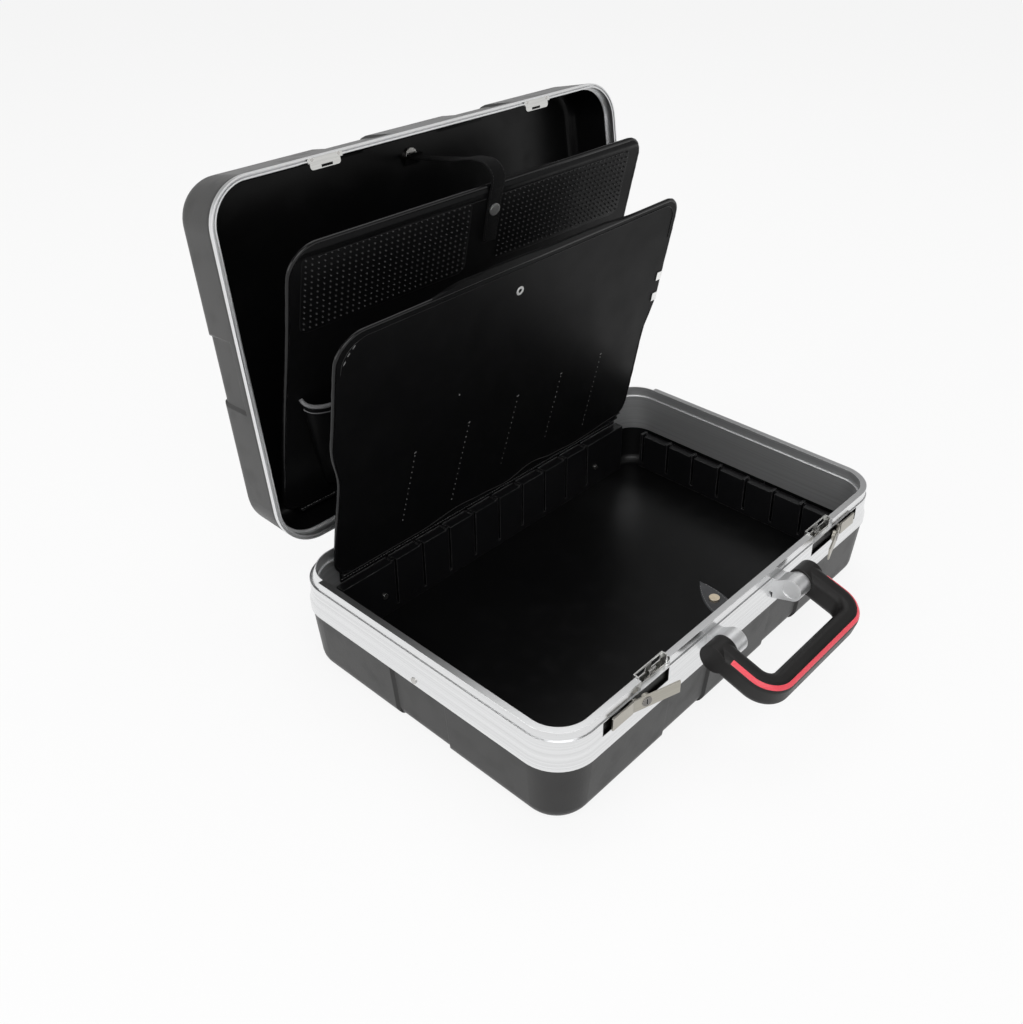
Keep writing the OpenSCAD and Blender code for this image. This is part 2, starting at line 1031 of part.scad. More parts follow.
module board_plate(length, corner) {
    translate([0, board_t / 2, 0])
        rotate([90, 0, 0])
            linear_extrude(board_t)
                plate_outline(board_w, length, corner, board_foot_r);
    translate([board_foot_r - board_w / 2, 0, 0])
        rotate([0, 90, 0])
            cylinder(h = board_w - 2 * board_foot_r, r = board_root_r, $fn = fine);
}

module board_edge(length, corner) {
    translate([0, board_t / 2 + piping_proud, 0])
        rotate([90, 0, 0])
            linear_extrude(board_t + 2 * piping_proud)
                difference() {
                    plate_outline(board_w + 2 * piping_r, length + piping_r, corner + piping_r, board_foot_r);
                    plate_outline(board_w, length, corner, board_foot_r);
                    translate([-board_w, 0])
                        square([2 * board_w, board_foot_r]);
                }
}

module board_front() {
    color(board_black)
        board_front_pose()
            difference() {
                board_plate(board_front_l, board_corner);
                translate([stud_x, 0, board_front_l - stud_from_top])
                    rotate([90, 0, 0])
                        cylinder(h = board_t + 2 * cut, r = 3, center = true, $fn = fine);
            }
}

module board_front_piping() {
    color(soft_black)
        board_front_pose()
            board_edge(board_front_l, board_corner);
}

module board_front_pockets() {
    color(soft_black)
        board_front_pose()
            for (i = [0:back_pockets - 1])
                translate([
                    (back_pocket_w + back_pocket_gap) * (i - back_pockets / 2) + back_pocket_gap / 2,
                    board_t / 2,
                    back_pocket_lift
                ])
                    cube([back_pocket_w, back_pocket_t, back_pocket_h]);
}

module board_front_eyelet() {
    color(steel)
        board_front_pose()
            translate([stud_x, -board_t / 2 - 0.6, board_front_l - stud_from_top])
                rotate([-90, 0, 0])
                    difference() {
                        union() {
                            cylinder(h = 0.6, r = 4.6, $fn = fine);
                            cylinder(h = board_t + 0.6, r = 3, $fn = fine);
                        }
                        translate([0, 0, -1])
                            cylinder(h = board_t + 4, r = 2.2, $fn = fine);
                    }
}

module board_front_fittings() {
    color(steel)
        board_front_pose()
            for (z = fitting_lifts)
                translate([board_w / 2 - fitting_w - 1, -board_t / 2 - 1.2, z - fitting_l / 2])
                    cube([fitting_w, 1.2, fitting_l]);
}

module board_hinge_strip() {
    color(soft_black)
        translate([
            max(-board_w / 2 + hinge_strip_in, -corner_x),
            board_axis[1] + board_root_r + soft_gap,
            divider_top + soft_gap
        ])
            cube([
                min(board_w - 2 * hinge_strip_in, 2 * corner_x),
                half_d - skirt_t - board_axis[1] - board_root_r - soft_gap,
                board_axis[2] + 16 - divider_top
            ]);
}

// ---- lid board ----

module board_lid() {
    color(board_black)
        board_lid_pose()
            board_plate(board_lid_l, lid_board_corner);
}

module board_lid_piping() {
    color(soft_black)
        board_lid_pose()
            board_edge(board_lid_l, lid_board_corner);
}

// perforated field: a thin raised pad with a grid of blind holes
module grid_field() {
    translate([0, -board_t / 2, board_lid_l - field_from_top - field_h])
        rotate([90, 0, 0])
            linear_extrude(field_t)
                plate_outline(field_w, field_h, board_corner - 1, 4);
}

module grid_left() {
    color(soft_black)
        board_lid_pose()
            translate([-field_x, 0, 0])
                grid_field();
}

module grid_right() {
    color(soft_black)
        board_lid_pose()
            translate([field_x, 0, 0])
                grid_field();
}

// outline of the pouch: its back on the board, its sides slanting in to the front
module pouch_outline(inset) {
    half = pouch_w / 2 - inset;
    front = pouch_mouth_t - inset;
    polygon([
        [-half, -inset],
        [-half + 8, -front],
        [half - 8, -front],
        [half, -inset]
    ]);
}

// pouch for a long tool, open at the top and closed at the foot
module tool_pocket() {
    color(soft_black)
        board_lid_pose()
            translate([pouch_x, -board_t / 2, pouch_lift])
                difference() {
                    linear_extrude(pouch_h)
                        pouch_outline(0);
                    translate([0, 0, 4])
                        linear_extrude(pouch_h)
                            pouch_outline(pouch_wall);
                }
}

module pocket_loop() {
    color(soft_black)
        board_lid_pose()
            translate([pouch_x + loop_from_pouch, -board_t / 2, loop_lift])
                difference() {
                    translate([-loop_w / 2, -loop_t, 0])
                        cube([loop_w, loop_t, loop_h]);
                    translate([-loop_w / 2 + strap_t, strap_t - loop_t, -cut])
                        cube([loop_w - 2 * strap_t, loop_t - 2 * strap_t, loop_h + 2 * cut]);
                }
}

module strap() {
    top = board_lid_l + piping_r + soft_gap;
    color(soft_black)
        board_lid_pose() {
            translate([strap_x - strap_w / 2, -strap_off - strap_t, board_lid_l - strap_drop])
                cube([strap_w, strap_t, top + strap_t - board_lid_l + strap_drop]);
            translate([strap_x - strap_w / 2, -strap_off - strap_t, top])
                cube([strap_w, 2 * strap_off + 2 * strap_t, strap_t]);
        }
}

module strap_stud() {
    color(steel)
        board_lid_pose()
            translate([strap_x, -strap_off - strap_t, board_lid_l - 26])
                rotate([90, 0, 0])
                    cylinder(h = 1.6, r = 6, $fn = fine);
}

// ---- closure tab on the front wall ----

module closure_tab() {
    color(soft_black) {
        translate([tab_root[0] - 8, -half_d + skirt_t, divider_top + soft_gap])
            cube([16, 1.5, 10]);
        translate(tab_root)
            rotate([0, 0, tab_turn])
                linear_extrude(2)
                    difference() {
                        intersection() {
                            translate([tab_l / 2 - 3, tab_bow - tab_w / 2])
                                circle(tab_bow, $fn = fine);
                            translate([tab_l / 2 - 3, tab_w / 2 - tab_bow])
                                circle(tab_bow, $fn = fine);
                        }
                        rotate([0, 0, -tab_turn])
                            translate([-tab_l, -2 * tab_l])
                                square([2 * tab_l, 2 * tab_l]);
                    }
    }
}

module closure_stud() {
    color(steel)
        translate([tab_root[0], tab_root[1], tab_z + 2])
            rotate([0, 0, tab_turn])
                translate([tab_l * 0.55, 0, 0])
                    cylinder(h = 3, r = 5, $fn = fine);
}

base_shell();
base_frame();
divider_rear();
divider_front();
divider_left();
divider_right();
divider_screws();
frame_rivets();
handle_bracket_left();
handle_bracket_right();
handle_pins();
latch_pan_left();
latch_pan_right();
hook_guide_left();
hook_guide_right();
lever_pins();
hinge_leaf_base_left();
hinge_leaf_base_right();
hinge_pins();
board_hinge_strip();
closure_tab();
closure_stud();
handle_grip();
handle_stripe();
latch_lever_left();
latch_lever_right();
lock_cylinder_left();
lock_cylinder_right();
latch_bolt_left();
latch_bolt_right();
lid_shell();
lid_frame();
hinge_leaf_lid_left();
hinge_leaf_lid_right();
lid_catch_left();
lid_catch_right();
catch_rivets();
lid_board_hinge();
strap_anchor();
board_front();
board_front_piping();
board_front_pockets();
board_front_eyelet();
board_front_fittings();
board_lid();
board_lid_piping();
grid_left();
grid_right();
tool_pocket();
pocket_loop();
strap();
strap_stud();
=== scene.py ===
"""Looks of a hard tool case in Blender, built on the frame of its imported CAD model.

All sizes are metres in the CAD model's frame: +X runs along the lid hinge, -Y is the handle
side and +Z is up. Hard pieces keep their CAD shape and get procedural finishes. The sewn
boards, pockets, straps and flexible strips are modelled here and stand for their CAD solids.
"""

from __future__ import annotations

import json
import logging
import math
from dataclasses import dataclass, field
from enum import Enum
from typing import Callable, Iterable, Sequence

import bpy
from mathutils import Matrix, Vector

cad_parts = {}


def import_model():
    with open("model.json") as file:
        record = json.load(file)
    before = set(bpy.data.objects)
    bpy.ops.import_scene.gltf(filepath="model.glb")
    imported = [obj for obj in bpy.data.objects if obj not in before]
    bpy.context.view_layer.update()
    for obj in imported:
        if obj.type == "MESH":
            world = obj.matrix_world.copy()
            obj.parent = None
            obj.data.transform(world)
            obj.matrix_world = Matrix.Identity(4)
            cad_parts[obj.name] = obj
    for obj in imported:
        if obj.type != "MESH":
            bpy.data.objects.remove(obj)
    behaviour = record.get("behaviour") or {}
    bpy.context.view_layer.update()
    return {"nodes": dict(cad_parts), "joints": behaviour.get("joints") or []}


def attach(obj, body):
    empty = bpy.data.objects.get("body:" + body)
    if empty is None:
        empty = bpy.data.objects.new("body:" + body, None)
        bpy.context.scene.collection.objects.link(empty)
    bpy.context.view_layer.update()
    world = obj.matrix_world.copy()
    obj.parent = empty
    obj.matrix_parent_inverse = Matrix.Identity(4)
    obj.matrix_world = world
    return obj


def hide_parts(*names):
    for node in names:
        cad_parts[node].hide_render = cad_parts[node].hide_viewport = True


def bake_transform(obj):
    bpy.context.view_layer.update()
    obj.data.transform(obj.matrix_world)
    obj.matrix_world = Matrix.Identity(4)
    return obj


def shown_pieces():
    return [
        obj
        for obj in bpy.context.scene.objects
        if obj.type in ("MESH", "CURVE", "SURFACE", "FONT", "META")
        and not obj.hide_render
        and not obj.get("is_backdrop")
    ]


LOG = logging.getLogger("tool_case")
MM = 0.001
SIDES = ("left", "right")

Point = tuple[float, float, float]
Colour = tuple[float, float, float]
Socket = bpy.types.NodeSocket


class Slot(str, Enum):
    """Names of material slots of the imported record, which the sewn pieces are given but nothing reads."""

    LINER = "liner"
    BOARD = "board"
    TRIM = "trim"


class Lines(Enum):
    """How a metal's fine lines lie: how far their pattern is squeezed along x, y and z."""

    DRAWN = (3.0, 3.0, 900.0)
    ROLLED = (20.0, 20.0, 900.0)
    BLASTED = (60.0, 60.0, 60.0)
    TURNED = (200.0, 200.0, 200.0)


# ---- materials ----


class NodeTree:
    """Adds nodes to a material's or a world's tree and joins them.

    Attributes:
        tree: Blender's node tree.
    """

    def __init__(self, tree: bpy.types.NodeTree) -> None:
        """Takes the tree that the nodes go into."""
        self.tree = tree

    def add(self, kind: str, settings: dict[str, object] | None = None,
            **inputs: object) -> bpy.types.Node:
        """Adds a node, sets its properties and fills its inputs with values or links.

        Args:
            kind: Blender's name of the node type.
            settings: node properties by name.
            **inputs: input values or output sockets by input name.

        Returns:
            The new node.
        """
        node = self.tree.nodes.new(kind)
        for key, value in (settings or {}).items():
            setattr(node, key, value)
        for key, value in inputs.items():
            self.fill(node.inputs[key], value)
        return node

    def fill(self, socket: Socket, value: object) -> None:
        """Links an output to a socket, or sets the socket's value."""
        if isinstance(value, Socket):
            self.tree.links.new(value, socket)
        else:
            socket.default_value = value

    def math(self, operation: str, a: object, b: object = 0.0, clamp: bool = False) -> Socket:
        """Joins two values with a maths operation.

        Args:
            operation: Blender's name of the operation.
            a: first number or output.
            b: second number or output.
            clamp: whether the result stays within 0 and 1.

        Returns:
            The result's output.
        """
        node = self.add("ShaderNodeMath", {"operation": operation, "use_clamp": clamp})
        self.fill(node.inputs[0], a)
        self.fill(node.inputs[1], b)
        return node.outputs[0]


class Shader(NodeTree):
    """Builds one procedural material round a Principled shader.

    Attributes:
        material: the Blender material.
        bsdf: its Principled shader node.
        point: place on the object, which the patterns are laid out in.
        facing: direction that the surface faces.
    """

    def __init__(self, name: str, closing: Matrix | None = None) -> None:
        """Starts a material.

        Args:
            name: name of the material.
            closing: motion from the open to the closed lid, so that the patterns of a lid piece
                are laid out as on the closed case.
        """
        self.material = bpy.data.materials.new(name)
        self.material.use_nodes = True
        super().__init__(self.material.node_tree)
        self.bsdf = next(n for n in self.tree.nodes if n.type == "BSDF_PRINCIPLED")
        places = self.add("ShaderNodeTexCoord")
        self.point, self.facing = places.outputs["Object"], places.outputs["Normal"]
        if closing:
            turn, shift = closing.to_euler(), closing.to_translation()
            self.point = self.add("ShaderNodeMapping", Vector=self.point, Rotation=turn,
                                  Location=shift).outputs["Vector"]
            self.facing = self.add("ShaderNodeMapping", {"vector_type": "VECTOR"}, Vector=self.facing,
                                   Rotation=turn).outputs["Vector"]

    def set(self, **inputs: object) -> None:
        """Sets the Principled shader's sockets, named with _ for spaces."""
        for key, value in inputs.items():
            self.fill(self.bsdf.inputs[key.replace("_", " ")], value)

    def stretched(self, scale: Point) -> Socket:
        """Gives the pattern's coordinates scaled along each axis."""
        return self.add("ShaderNodeMapping", Vector=self.point, Scale=scale).outputs["Vector"]

    def noise(self, scale: float, detail: float = 2.0, at: Socket | None = None) -> Socket:
        """Gives a noise value from 0 to 1.

        Args:
            scale: how fine the noise is, per metre.
            detail: how many finer layers it has.
            at: where it is looked up, if not at the object's own place.

        Returns:
            The value.
        """
        node = self.add("ShaderNodeTexNoise", Vector=at or self.point, Scale=scale, Detail=detail)
        return node.outputs["Fac"]

    def cells(self, scale: float, feature: str = "SMOOTH_F1") -> Socket:
        """Gives the distance in a pattern of cells.

        Args:
            scale: cells per metre.
            feature: Blender's name of the distance that is measured.

        Returns:
            The distance.
        """
        node = self.add("ShaderNodeTexVoronoi", {"feature": feature}, Vector=self.point, Scale=scale)
        return node.outputs["Distance"]

    def spread(self, value: Socket, low: float, high: float,
               start: float = 0.3, end: float = 0.7) -> Socket:
        """Maps a value from start..end to low..high.

        Args:
            value: the value.
            low: result at the start.
            high: result at the end.
            start: where the value begins to count.
            end: where it stops.

        Returns:
            The mapped value, held within low and high.
        """
        node = self.add("ShaderNodeMapRange", {"clamp": True}, Value=value)
        for key, number in (("From Min", start), ("From Max", end), ("To Min", low), ("To Max", high)):
            node.inputs[key].default_value = number
        return node.outputs["Result"]

    def blend(self, factor: object, a: object, b: object) -> Socket:
        """Mixes two colours, given as colours or outputs.

        Args:
            factor: share of the second colour.
            a: first colour.
            b: second colour.

        Returns:
            The mixed colour.
        """
        colours_in, colour_out = (6, 7), 2
        node = self.add("ShaderNodeMix", {"data_type": "RGBA"})
        self.fill(node.inputs["Factor"], factor)
        for index, value in zip(colours_in, (a, b)):
            self.fill(node.inputs[index], (*value, 1.0) if isinstance(value, tuple) else value)
        return node.outputs[colour_out]

    def bump(self, height: Socket, distance: float, strength: float = 1.0,
             under: Socket | None = None) -> Socket:
        """Turns a height into a normal, over another normal if one is given.

        Args:
            height: the height, from 0 to 1.
            distance: what a height of 1 is in metres.
            strength: how much of it shows.
            under: the normal below it.

        Returns:
            The normal.
        """
        node = self.add("ShaderNodeBump", Height=height, Distance=distance, Strength=strength)
        if under is not None:
            self.fill(node.inputs["Normal"], under)
        return node.outputs["Normal"]

    def edge_rounding(self, radius: float) -> tuple[Socket, Socket]:
        """Rounds hard edges in shading.

        Args:
            radius: radius of the rounding in metres.

        Returns:
            The rounded normal, and a mask that is 1 along the edges.
        """
        rounded = self.add("ShaderNodeBevel", {"samples": 4}, Radius=radius).outputs["Normal"]
        flat = self.add("ShaderNodeNewGeometry").outputs["Normal"]
        product = self.add("ShaderNodeVectorMath", {"operation": "DOT_PRODUCT"})
        self.fill(product.inputs[0], rounded)
        self.fill(product.inputs[1], flat)
        mask = self.spread(product.outputs["Value"], 1.0, 0.0, 0.80, 0.99)
        return rounded, mask

    def outside(self, up: float) -> Socket:
        """Marks the faces of a tray that look away from its hollow.

        Args:
            up: 1 for a tray that is hollow below, -1 for one that is hollow above.

        Returns:
            A mask that is 1 on the outer faces and 0 on the inner ones.
        """
        wall_weight, soft = 4.0, 0.04
        place = self.add("ShaderNodeSeparateXYZ", Vector=self.point)
        faces = self.add("ShaderNodeSeparateXYZ", Vector=self.facing)
        away = self.math("MULTIPLY", faces.outputs["Z"], up)
        for axis in ("X", "Y"):
            side = self.math("MULTIPLY", place.outputs[axis], faces.outputs[axis])
            away = self.math("ADD", away, self.math("MULTIPLY", side, wall_weight))
        return self.spread(away, 0.0, 1.0, -soft, soft)


@dataclass(frozen=True)
class PlasticFinish:
    """A moulded plastic or rubber with grain, uneven sheen and lighter edges, worn and, on the strips, a
    painted highlight.

    Attributes:
        colour: colour of the sound surface.
        worn_and_painted_highlight: colour of the edges, worn, and on the strips a painted highlight.
        rough: lowest and highest roughness.
        grain: grains per metre.
        depth: depth of the grain in metres.
        edge: radius of the worn edges in metres.
        specular: level of its gloss.
    """

    colour: Colour
    worn_and_painted_highlight: Colour
    rough: tuple[float, float]
    grain: float
    depth: float
    edge: float = 0.6 * MM
    specular: float = 0.4

    def make(self, name: str) -> bpy.types.Material:
        """Builds the material.

        Args:
            name: name of the material.

        Returns:
            The material.
        """
        s = Shader(name)
        normal, mask = s.edge_rounding(self.edge)
        patches = s.noise(9.0, 4.0)
        scuffs = s.spread(s.noise(60.0, 6.0), 0.0, 1.0, 0.45, 0.65)
        # lighter edges: wear, and on the strips a painted highlight along the edges
        wear_and_painted_highlight = s.math("MULTIPLY", mask, s.spread(s.noise(140.0, 3.0), 0.15, 0.8), clamp=True)
        lighter = tuple(c * 1.5 for c in self.colour)
        base = s.blend(s.spread(patches, 0.0, 1.0), self.colour, lighter)
        s.set(Base_Color=s.blend(wear_and_painted_highlight, base, self.worn_and_painted_highlight))
        uneven = s.math("MULTIPLY", s.math("ADD", patches, scuffs), 0.5)
        s.set(Roughness=s.spread(uneven, *self.rough, 0.1, 0.9), Specular_IOR_Level=self.specular)
        s.set(Normal=s.bump(s.cells(self.grain), self.depth, 0.9, normal))
        return s.material


@dataclass(frozen=True)
class BrushedFinish:
    """An extruded or rolled metal with fine lines, clouding and handling marks.

    Attributes:
        colour: colour of the metal.
        rough: lowest and highest roughness.
        lines: how its fine lines lie.
        depth: depth of the lines in metres.
        edge: radius of the bright edges in metres.
        round_axis: axis that the drawn lines run round, if there is one.
        inner_rough: roughness of the faces that look into the case, if they differ.
    """

    colour: Colour
    rough: tuple[float, float]
    lines: Lines
    depth: float = 0.006 * MM
    edge: float = 0.35 * MM
    round_axis: str = ""
    inner_rough: float = 0.0

    def make(self, name: str, closing: Matrix | None = None) -> bpy.types.Material:
        """Builds the material.

        Args:
            name: name of the material.
            closing: motion from the open to the closed lid, for a lid piece.

        Returns:
            The material.
        """
        s = Shader(name, closing)
        normal, mask = s.edge_rounding(self.edge)
        lines = s.noise(1.0, 5.0, s.stretched(self.lines.value))
        clouds = s.noise(14.0, 3.0)
        marks = s.spread(s.noise(300.0, 2.0), 0.0, 0.5, 0.66, 0.76)
        dull = tuple(c * 0.88 for c in self.colour)
        base = s.blend(s.spread(lines, 0.0, 1.0, 0.35, 0.65), self.colour, dull)
        base = s.blend(s.math("MULTIPLY", mask, 0.6), base, (0.95, 0.95, 0.95))
        s.set(Base_Color=base, Metallic=1.0)
        uneven = s.math("MULTIPLY", s.math("ADD", s.math("ADD", lines, clouds), marks), 0.33)
        rough = s.spread(uneven, *self.rough, 0.2, 0.6)
        if self.inner_rough:
            inner = s.math("MULTIPLY", s.math("SUBTRACT", 1.0, s.outside(0.0)), self.inner_rough)
            rough = s.math("MAXIMUM", rough, inner)
        s.set(Roughness=rough, Normal=s.bump(lines, self.depth, 0.5, normal))
        if self.round_axis:
            round_it = s.add("ShaderNodeTangent", {"direction_type": "RADIAL", "axis": self.round_axis})
            s.set(Anisotropic=0.5, Tangent=round_it.outputs["Tangent"])
        return s.material


@dataclass(frozen=True)
class LeatherFinish:
    """A grained leatherette with creases, soft sheen and rubbed high spots.

    Attributes:
        colour: colour of the surface.
        rubbed_and_painted_sheen: colour where it is rubbed.
        rough: lowest and highest roughness.
        grain: grains per metre.
        depth: depth of the grain in metres.
        specular: level of its gloss.
    """

    colour: Colour
    rubbed_and_painted_sheen: Colour
    rough: tuple[float, float]
    grain: float = 900.0
    depth: float = 0.06 * MM
    specular: float = 0.09

    def make(self, name: str) -> bpy.types.Material:
        """Builds the material.

        Args:
            name: name of the material.

        Returns:
            The material.
        """
        s = Shader(name)
        pebbles = s.cells(self.grain)
        creases = s.cells(self.grain * 0.35, "DISTANCE_TO_EDGE")
        soft = s.noise(24.0, 5.0)
        rubbed_and_painted_sheen = s.spread(s.noise(70.0, 4.0), 0.0, 0.5, 0.5, 0.75)
        s.set(Base_Color=s.blend(rubbed_and_painted_sheen, self.colour, self.rubbed_and_painted_sheen))
        s.set(Roughness=s.spread(soft, *self.rough), Specular_IOR_Level=self.specular)
        grain = s.bump(pebbles, self.depth, 0.8)
        s.set(Normal=s.bump(s.spread(creases, 0.0, 1.0, 0.0, 0.12), self.depth * 0.8, 0.4, grain))
        return s.material


@dataclass(frozen=True)
class WovenFinish:
    """A woven tape or thread.

    Attributes:
        colour: colour of the yarn tops.
        hollow: colour between the yarns.
        pitch: distance between yarns in metres.
    """

    colour: Colour
    hollow: Colour
    pitch: float

    def make(self, name: str) -> bpy.types.Material:
        """Builds the material.

        Args:
            name: name of the material.

        Returns:
            The material.
        """
        s = Shader(name)
        parts = s.add("ShaderNodeSeparateXYZ", Vector=s.point)
        waves = [
            s.math("SINE", s.math("MULTIPLY", parts.outputs[axis], math.tau / self.pitch))
            for axis in (0, 2)
        ]
        weave = s.spread(s.math("MULTIPLY", waves[0], waves[1]), 0.0, 1.0, -1.0, 1.0)
        fuzz = s.noise(900.0, 3.0)
        height = s.math("ADD", weave, s.math("MULTIPLY", fuzz, 0.4))
        s.set(Base_Color=s.blend(weave, self.hollow, self.colour))
        s.set(Roughness=s.spread(fuzz, 0.6, 0.85), Sheen_Weight=0.02, Specular_IOR_Level=0.08)
        s.set(Normal=s.bump(height, 0.12 * MM, 0.7))
        return s.material


class Finishes:
    """Every material of the case, made once."""

    def __init__(self, closing: Matrix) -> None:
        """Makes the materials.

        Args:
            closing: motion from the open to the closed lid.
        """
        silver = (0.81, 0.815, 0.82)
        # painted sheen: the shells' outer skin is painted lighter than their very dark inside, and the lid's
        # 1.35 times lighter than the base's
        self.shell = self._shell("shell", None, up=-1.0, rubbed_and_painted_sheen=1.0)
        self.lid_shell = self._shell("lid_shell_finish", closing, up=1.0, rubbed_and_painted_sheen=1.35)
        self.frame = BrushedFinish(
            silver, rough=(0.16, 0.32), lines=Lines.DRAWN, depth=0.002 * MM, round_axis="Z", inner_rough=0.55,
        ).make("aluminium")
        self.lid_frame = BrushedFinish(
            silver, rough=(0.34, 0.50), lines=Lines.DRAWN, depth=0.002 * MM, round_axis="Y",
        ).make("lid_aluminium", closing)
        self.cast = BrushedFinish(
            (0.86, 0.865, 0.87), rough=(0.40, 0.58), lines=Lines.BLASTED, depth=0.03 * MM,
        ).make("cast_aluminium")
        self.nickel = BrushedFinish((0.44, 0.42, 0.37), (0.30, 0.46), Lines.ROLLED).make("nickel")
        self.catch = BrushedFinish((0.68, 0.68, 0.66), (0.24, 0.40), Lines.ROLLED).make("catch_plate")
        self.steel = BrushedFinish((0.56, 0.55, 0.53), (0.22, 0.36), Lines.TURNED).make("steel")
        self.lock = BrushedFinish((0.22, 0.21, 0.20), (0.22, 0.36), Lines.TURNED).make("lock_metal")
        self.bright = BrushedFinish((0.92, 0.92, 0.91), (0.30, 0.46), Lines.TURNED).make("bright_steel")
        self.brass = BrushedFinish((0.88, 0.76, 0.58), (0.34, 0.48), Lines.TURNED).make("stud_metal")
        self.pan = self._pan()
        # painted highlight: the strips' edge colour is light grey, so their edges show painted highlight
        # lines as well as wear
        self.strip = PlasticFinish(
            (0.0045, 0.0045, 0.0050), worn_and_painted_highlight=(0.16, 0.16, 0.16), rough=(0.26, 0.40), grain=2600.0,
            depth=0.02 * MM, edge=0.9 * MM, specular=0.24,
        ).make("strip")
        self.grip = PlasticFinish(
            (0.0060, 0.0054, 0.0052), worn_and_painted_highlight=(0.022, 0.02, 0.02), rough=(0.38, 0.52), grain=3200.0,
            depth=0.05 * MM, edge=1.2 * MM, specular=0.34,
        ).make("grip")
        self.stripe = PlasticFinish(
            (0.74, 0.075, 0.100), worn_and_painted_highlight=(0.80, 0.25, 0.25), rough=(0.30, 0.45), grain=3000.0, depth=0.03 * MM,
        ).make("stripe")
        self.leather = LeatherFinish(
            (0.0040, 0.0040, 0.0043), rubbed_and_painted_sheen=(0.0062, 0.0062, 0.0066), rough=(0.36, 0.48),
        ).make("leather")
        self.gloss_leather = LeatherFinish(
            (0.0045, 0.0045, 0.0048), rubbed_and_painted_sheen=(0.009, 0.009, 0.010), rough=(0.11, 0.20), depth=0.02 * MM,
            specular=0.30,
        ).make("edge_leather")
        self.tab_leather = LeatherFinish(
            (0.045, 0.046, 0.049), rubbed_and_painted_sheen=(0.08, 0.08, 0.085), rough=(0.30, 0.42), specular=0.35,
        ).make("tab_leather")
        self.binding = LeatherFinish(
            (0.17, 0.17, 0.175), rubbed_and_painted_sheen=(0.26, 0.26, 0.26), rough=(0.30, 0.45), specular=0.35,
        ).make("binding")
        self.pin_mat = PlasticFinish(
            (0.012, 0.012, 0.0125), worn_and_painted_highlight=(0.06, 0.06, 0.06), rough=(0.24, 0.36), grain=2200.0,
            depth=0.02 * MM, specular=0.45,
        ).make("pins")
        self.webbing = WovenFinish(
            (0.0050, 0.0050, 0.0054), hollow=(0.0020, 0.0020, 0.0020), pitch=0.9 * MM,
        ).make("webbing")
        self.thread = WovenFinish(
            (0.30, 0.30, 0.30), hollow=(0.14, 0.14, 0.14), pitch=0.5 * MM,
        ).make("thread")
        self.floor = self._floor()

    @staticmethod
    def _shell(name: str, closing: Matrix | None, up: float, rubbed_and_painted_sheen: float) -> bpy.types.Material:
        """Moulded shell: pebbled outside, smooth inside; the outside is painted lighter as a painted sheen
        and the inside very dark as painted shade.

        Args:
            name: name of the material.
            closing: motion from the open to the closed lid, for the lid's shell.
            up: 1 for the lid, hollow below, and -1 for the base, hollow above.
            rubbed_and_painted_sheen: how much lighter the outer skin is painted, as a painted sheen.

        Returns:
            The material.
        """
        s = Shader(name, closing)
        outer = s.outside(up)
        normal, mask = s.edge_rounding(0.9 * MM)
        patches = s.noise(7.0, 4.0)
        scuffs = s.spread(s.noise(45.0, 7.0), 0.0, 1.0, 0.5, 0.7)
        wear_and_painted_highlight = s.math("MULTIPLY", mask, s.spread(s.noise(120.0, 3.0), 0.0, 0.35), clamp=True)
        # painted light and shade: the outer colours, scaled by the gain above, are a painted sheen, and the
        # inner colour is painted very dark as painted shade in the hollow
        dark, light = (
            tuple(c * rubbed_and_painted_sheen for c in colour) for colour in ((0.026, 0.0258, 0.0255), (0.040, 0.0395, 0.039))
        )
        skin = s.blend(s.spread(patches, 0.0, 1.0), dark, light)
        deep = s.blend(s.spread(patches, 0.0, 1.0), (0.0022, 0.0022, 0.0024), (0.0036, 0.0036, 0.0038))
        base = s.blend(s.math("MULTIPLY", wear_and_painted_highlight, outer), s.blend(outer, deep, skin), (0.10, 0.10, 0.10))
        s.set(Base_Color=base, Specular_IOR_Level=0.22)
        uneven = s.math("MULTIPLY", s.math("ADD", patches, scuffs), 0.5)
        pebbled = s.math("MULTIPLY", outer, 0.06)
        s.set(Roughness=s.math("ADD", s.spread(uneven, 0.28, 0.40, 0.1, 0.9), pebbled))
        coarse = s.math("MULTIPLY", s.cells(750.0), s.spread(outer, 0.15, 1.0, 0.0, 1.0))
        fine = s.math("MULTIPLY", s.noise(3200.0, 2.0), s.spread(outer, 0.3, 1.0, 0.0, 1.0))
        normal = s.bump(coarse, 0.10 * MM, 0.75, normal)
        s.set(Normal=s.bump(fine, 0.04 * MM, 0.5, normal))
        return s.material

    @staticmethod
    def _pan() -> bpy.types.Material:
        """Latch pan: nickel on its outer plate, and painted very dark in the hollow behind the lever as
        painted shade.
        """
        plate_back, plate_front = -0.1635, -0.1645
        s = Shader("latch_pan_finish")
        normal, mask = s.edge_rounding(0.4 * MM)
        depth = s.add("ShaderNodeSeparateXYZ", Vector=s.point).outputs["Y"]
        plate = s.spread(depth, 1.0, 0.0, plate_front, plate_back)
        cloud = s.noise(30.0, 4.0)
        plated = s.blend(s.spread(cloud, 0.0, 1.0), (0.50, 0.48, 0.43), (0.42, 0.40, 0.36))
        # painted shade: the hollow behind the outer plate is painted very dark
        painted_hollow_shade = s.blend(s.spread(cloud, 0.0, 1.0), (0.010, 0.010, 0.010), (0.022, 0.022, 0.021))
        s.set(Base_Color=s.blend(plate, painted_hollow_shade, s.blend(mask, plated, (0.80, 0.79, 0.76))), Metallic=1.0)
        s.set(Roughness=s.spread(cloud, 0.30, 0.48))
        s.set(Normal=s.bump(s.noise(700.0, 3.0), 0.01 * MM, 0.5, normal))
        return s.material

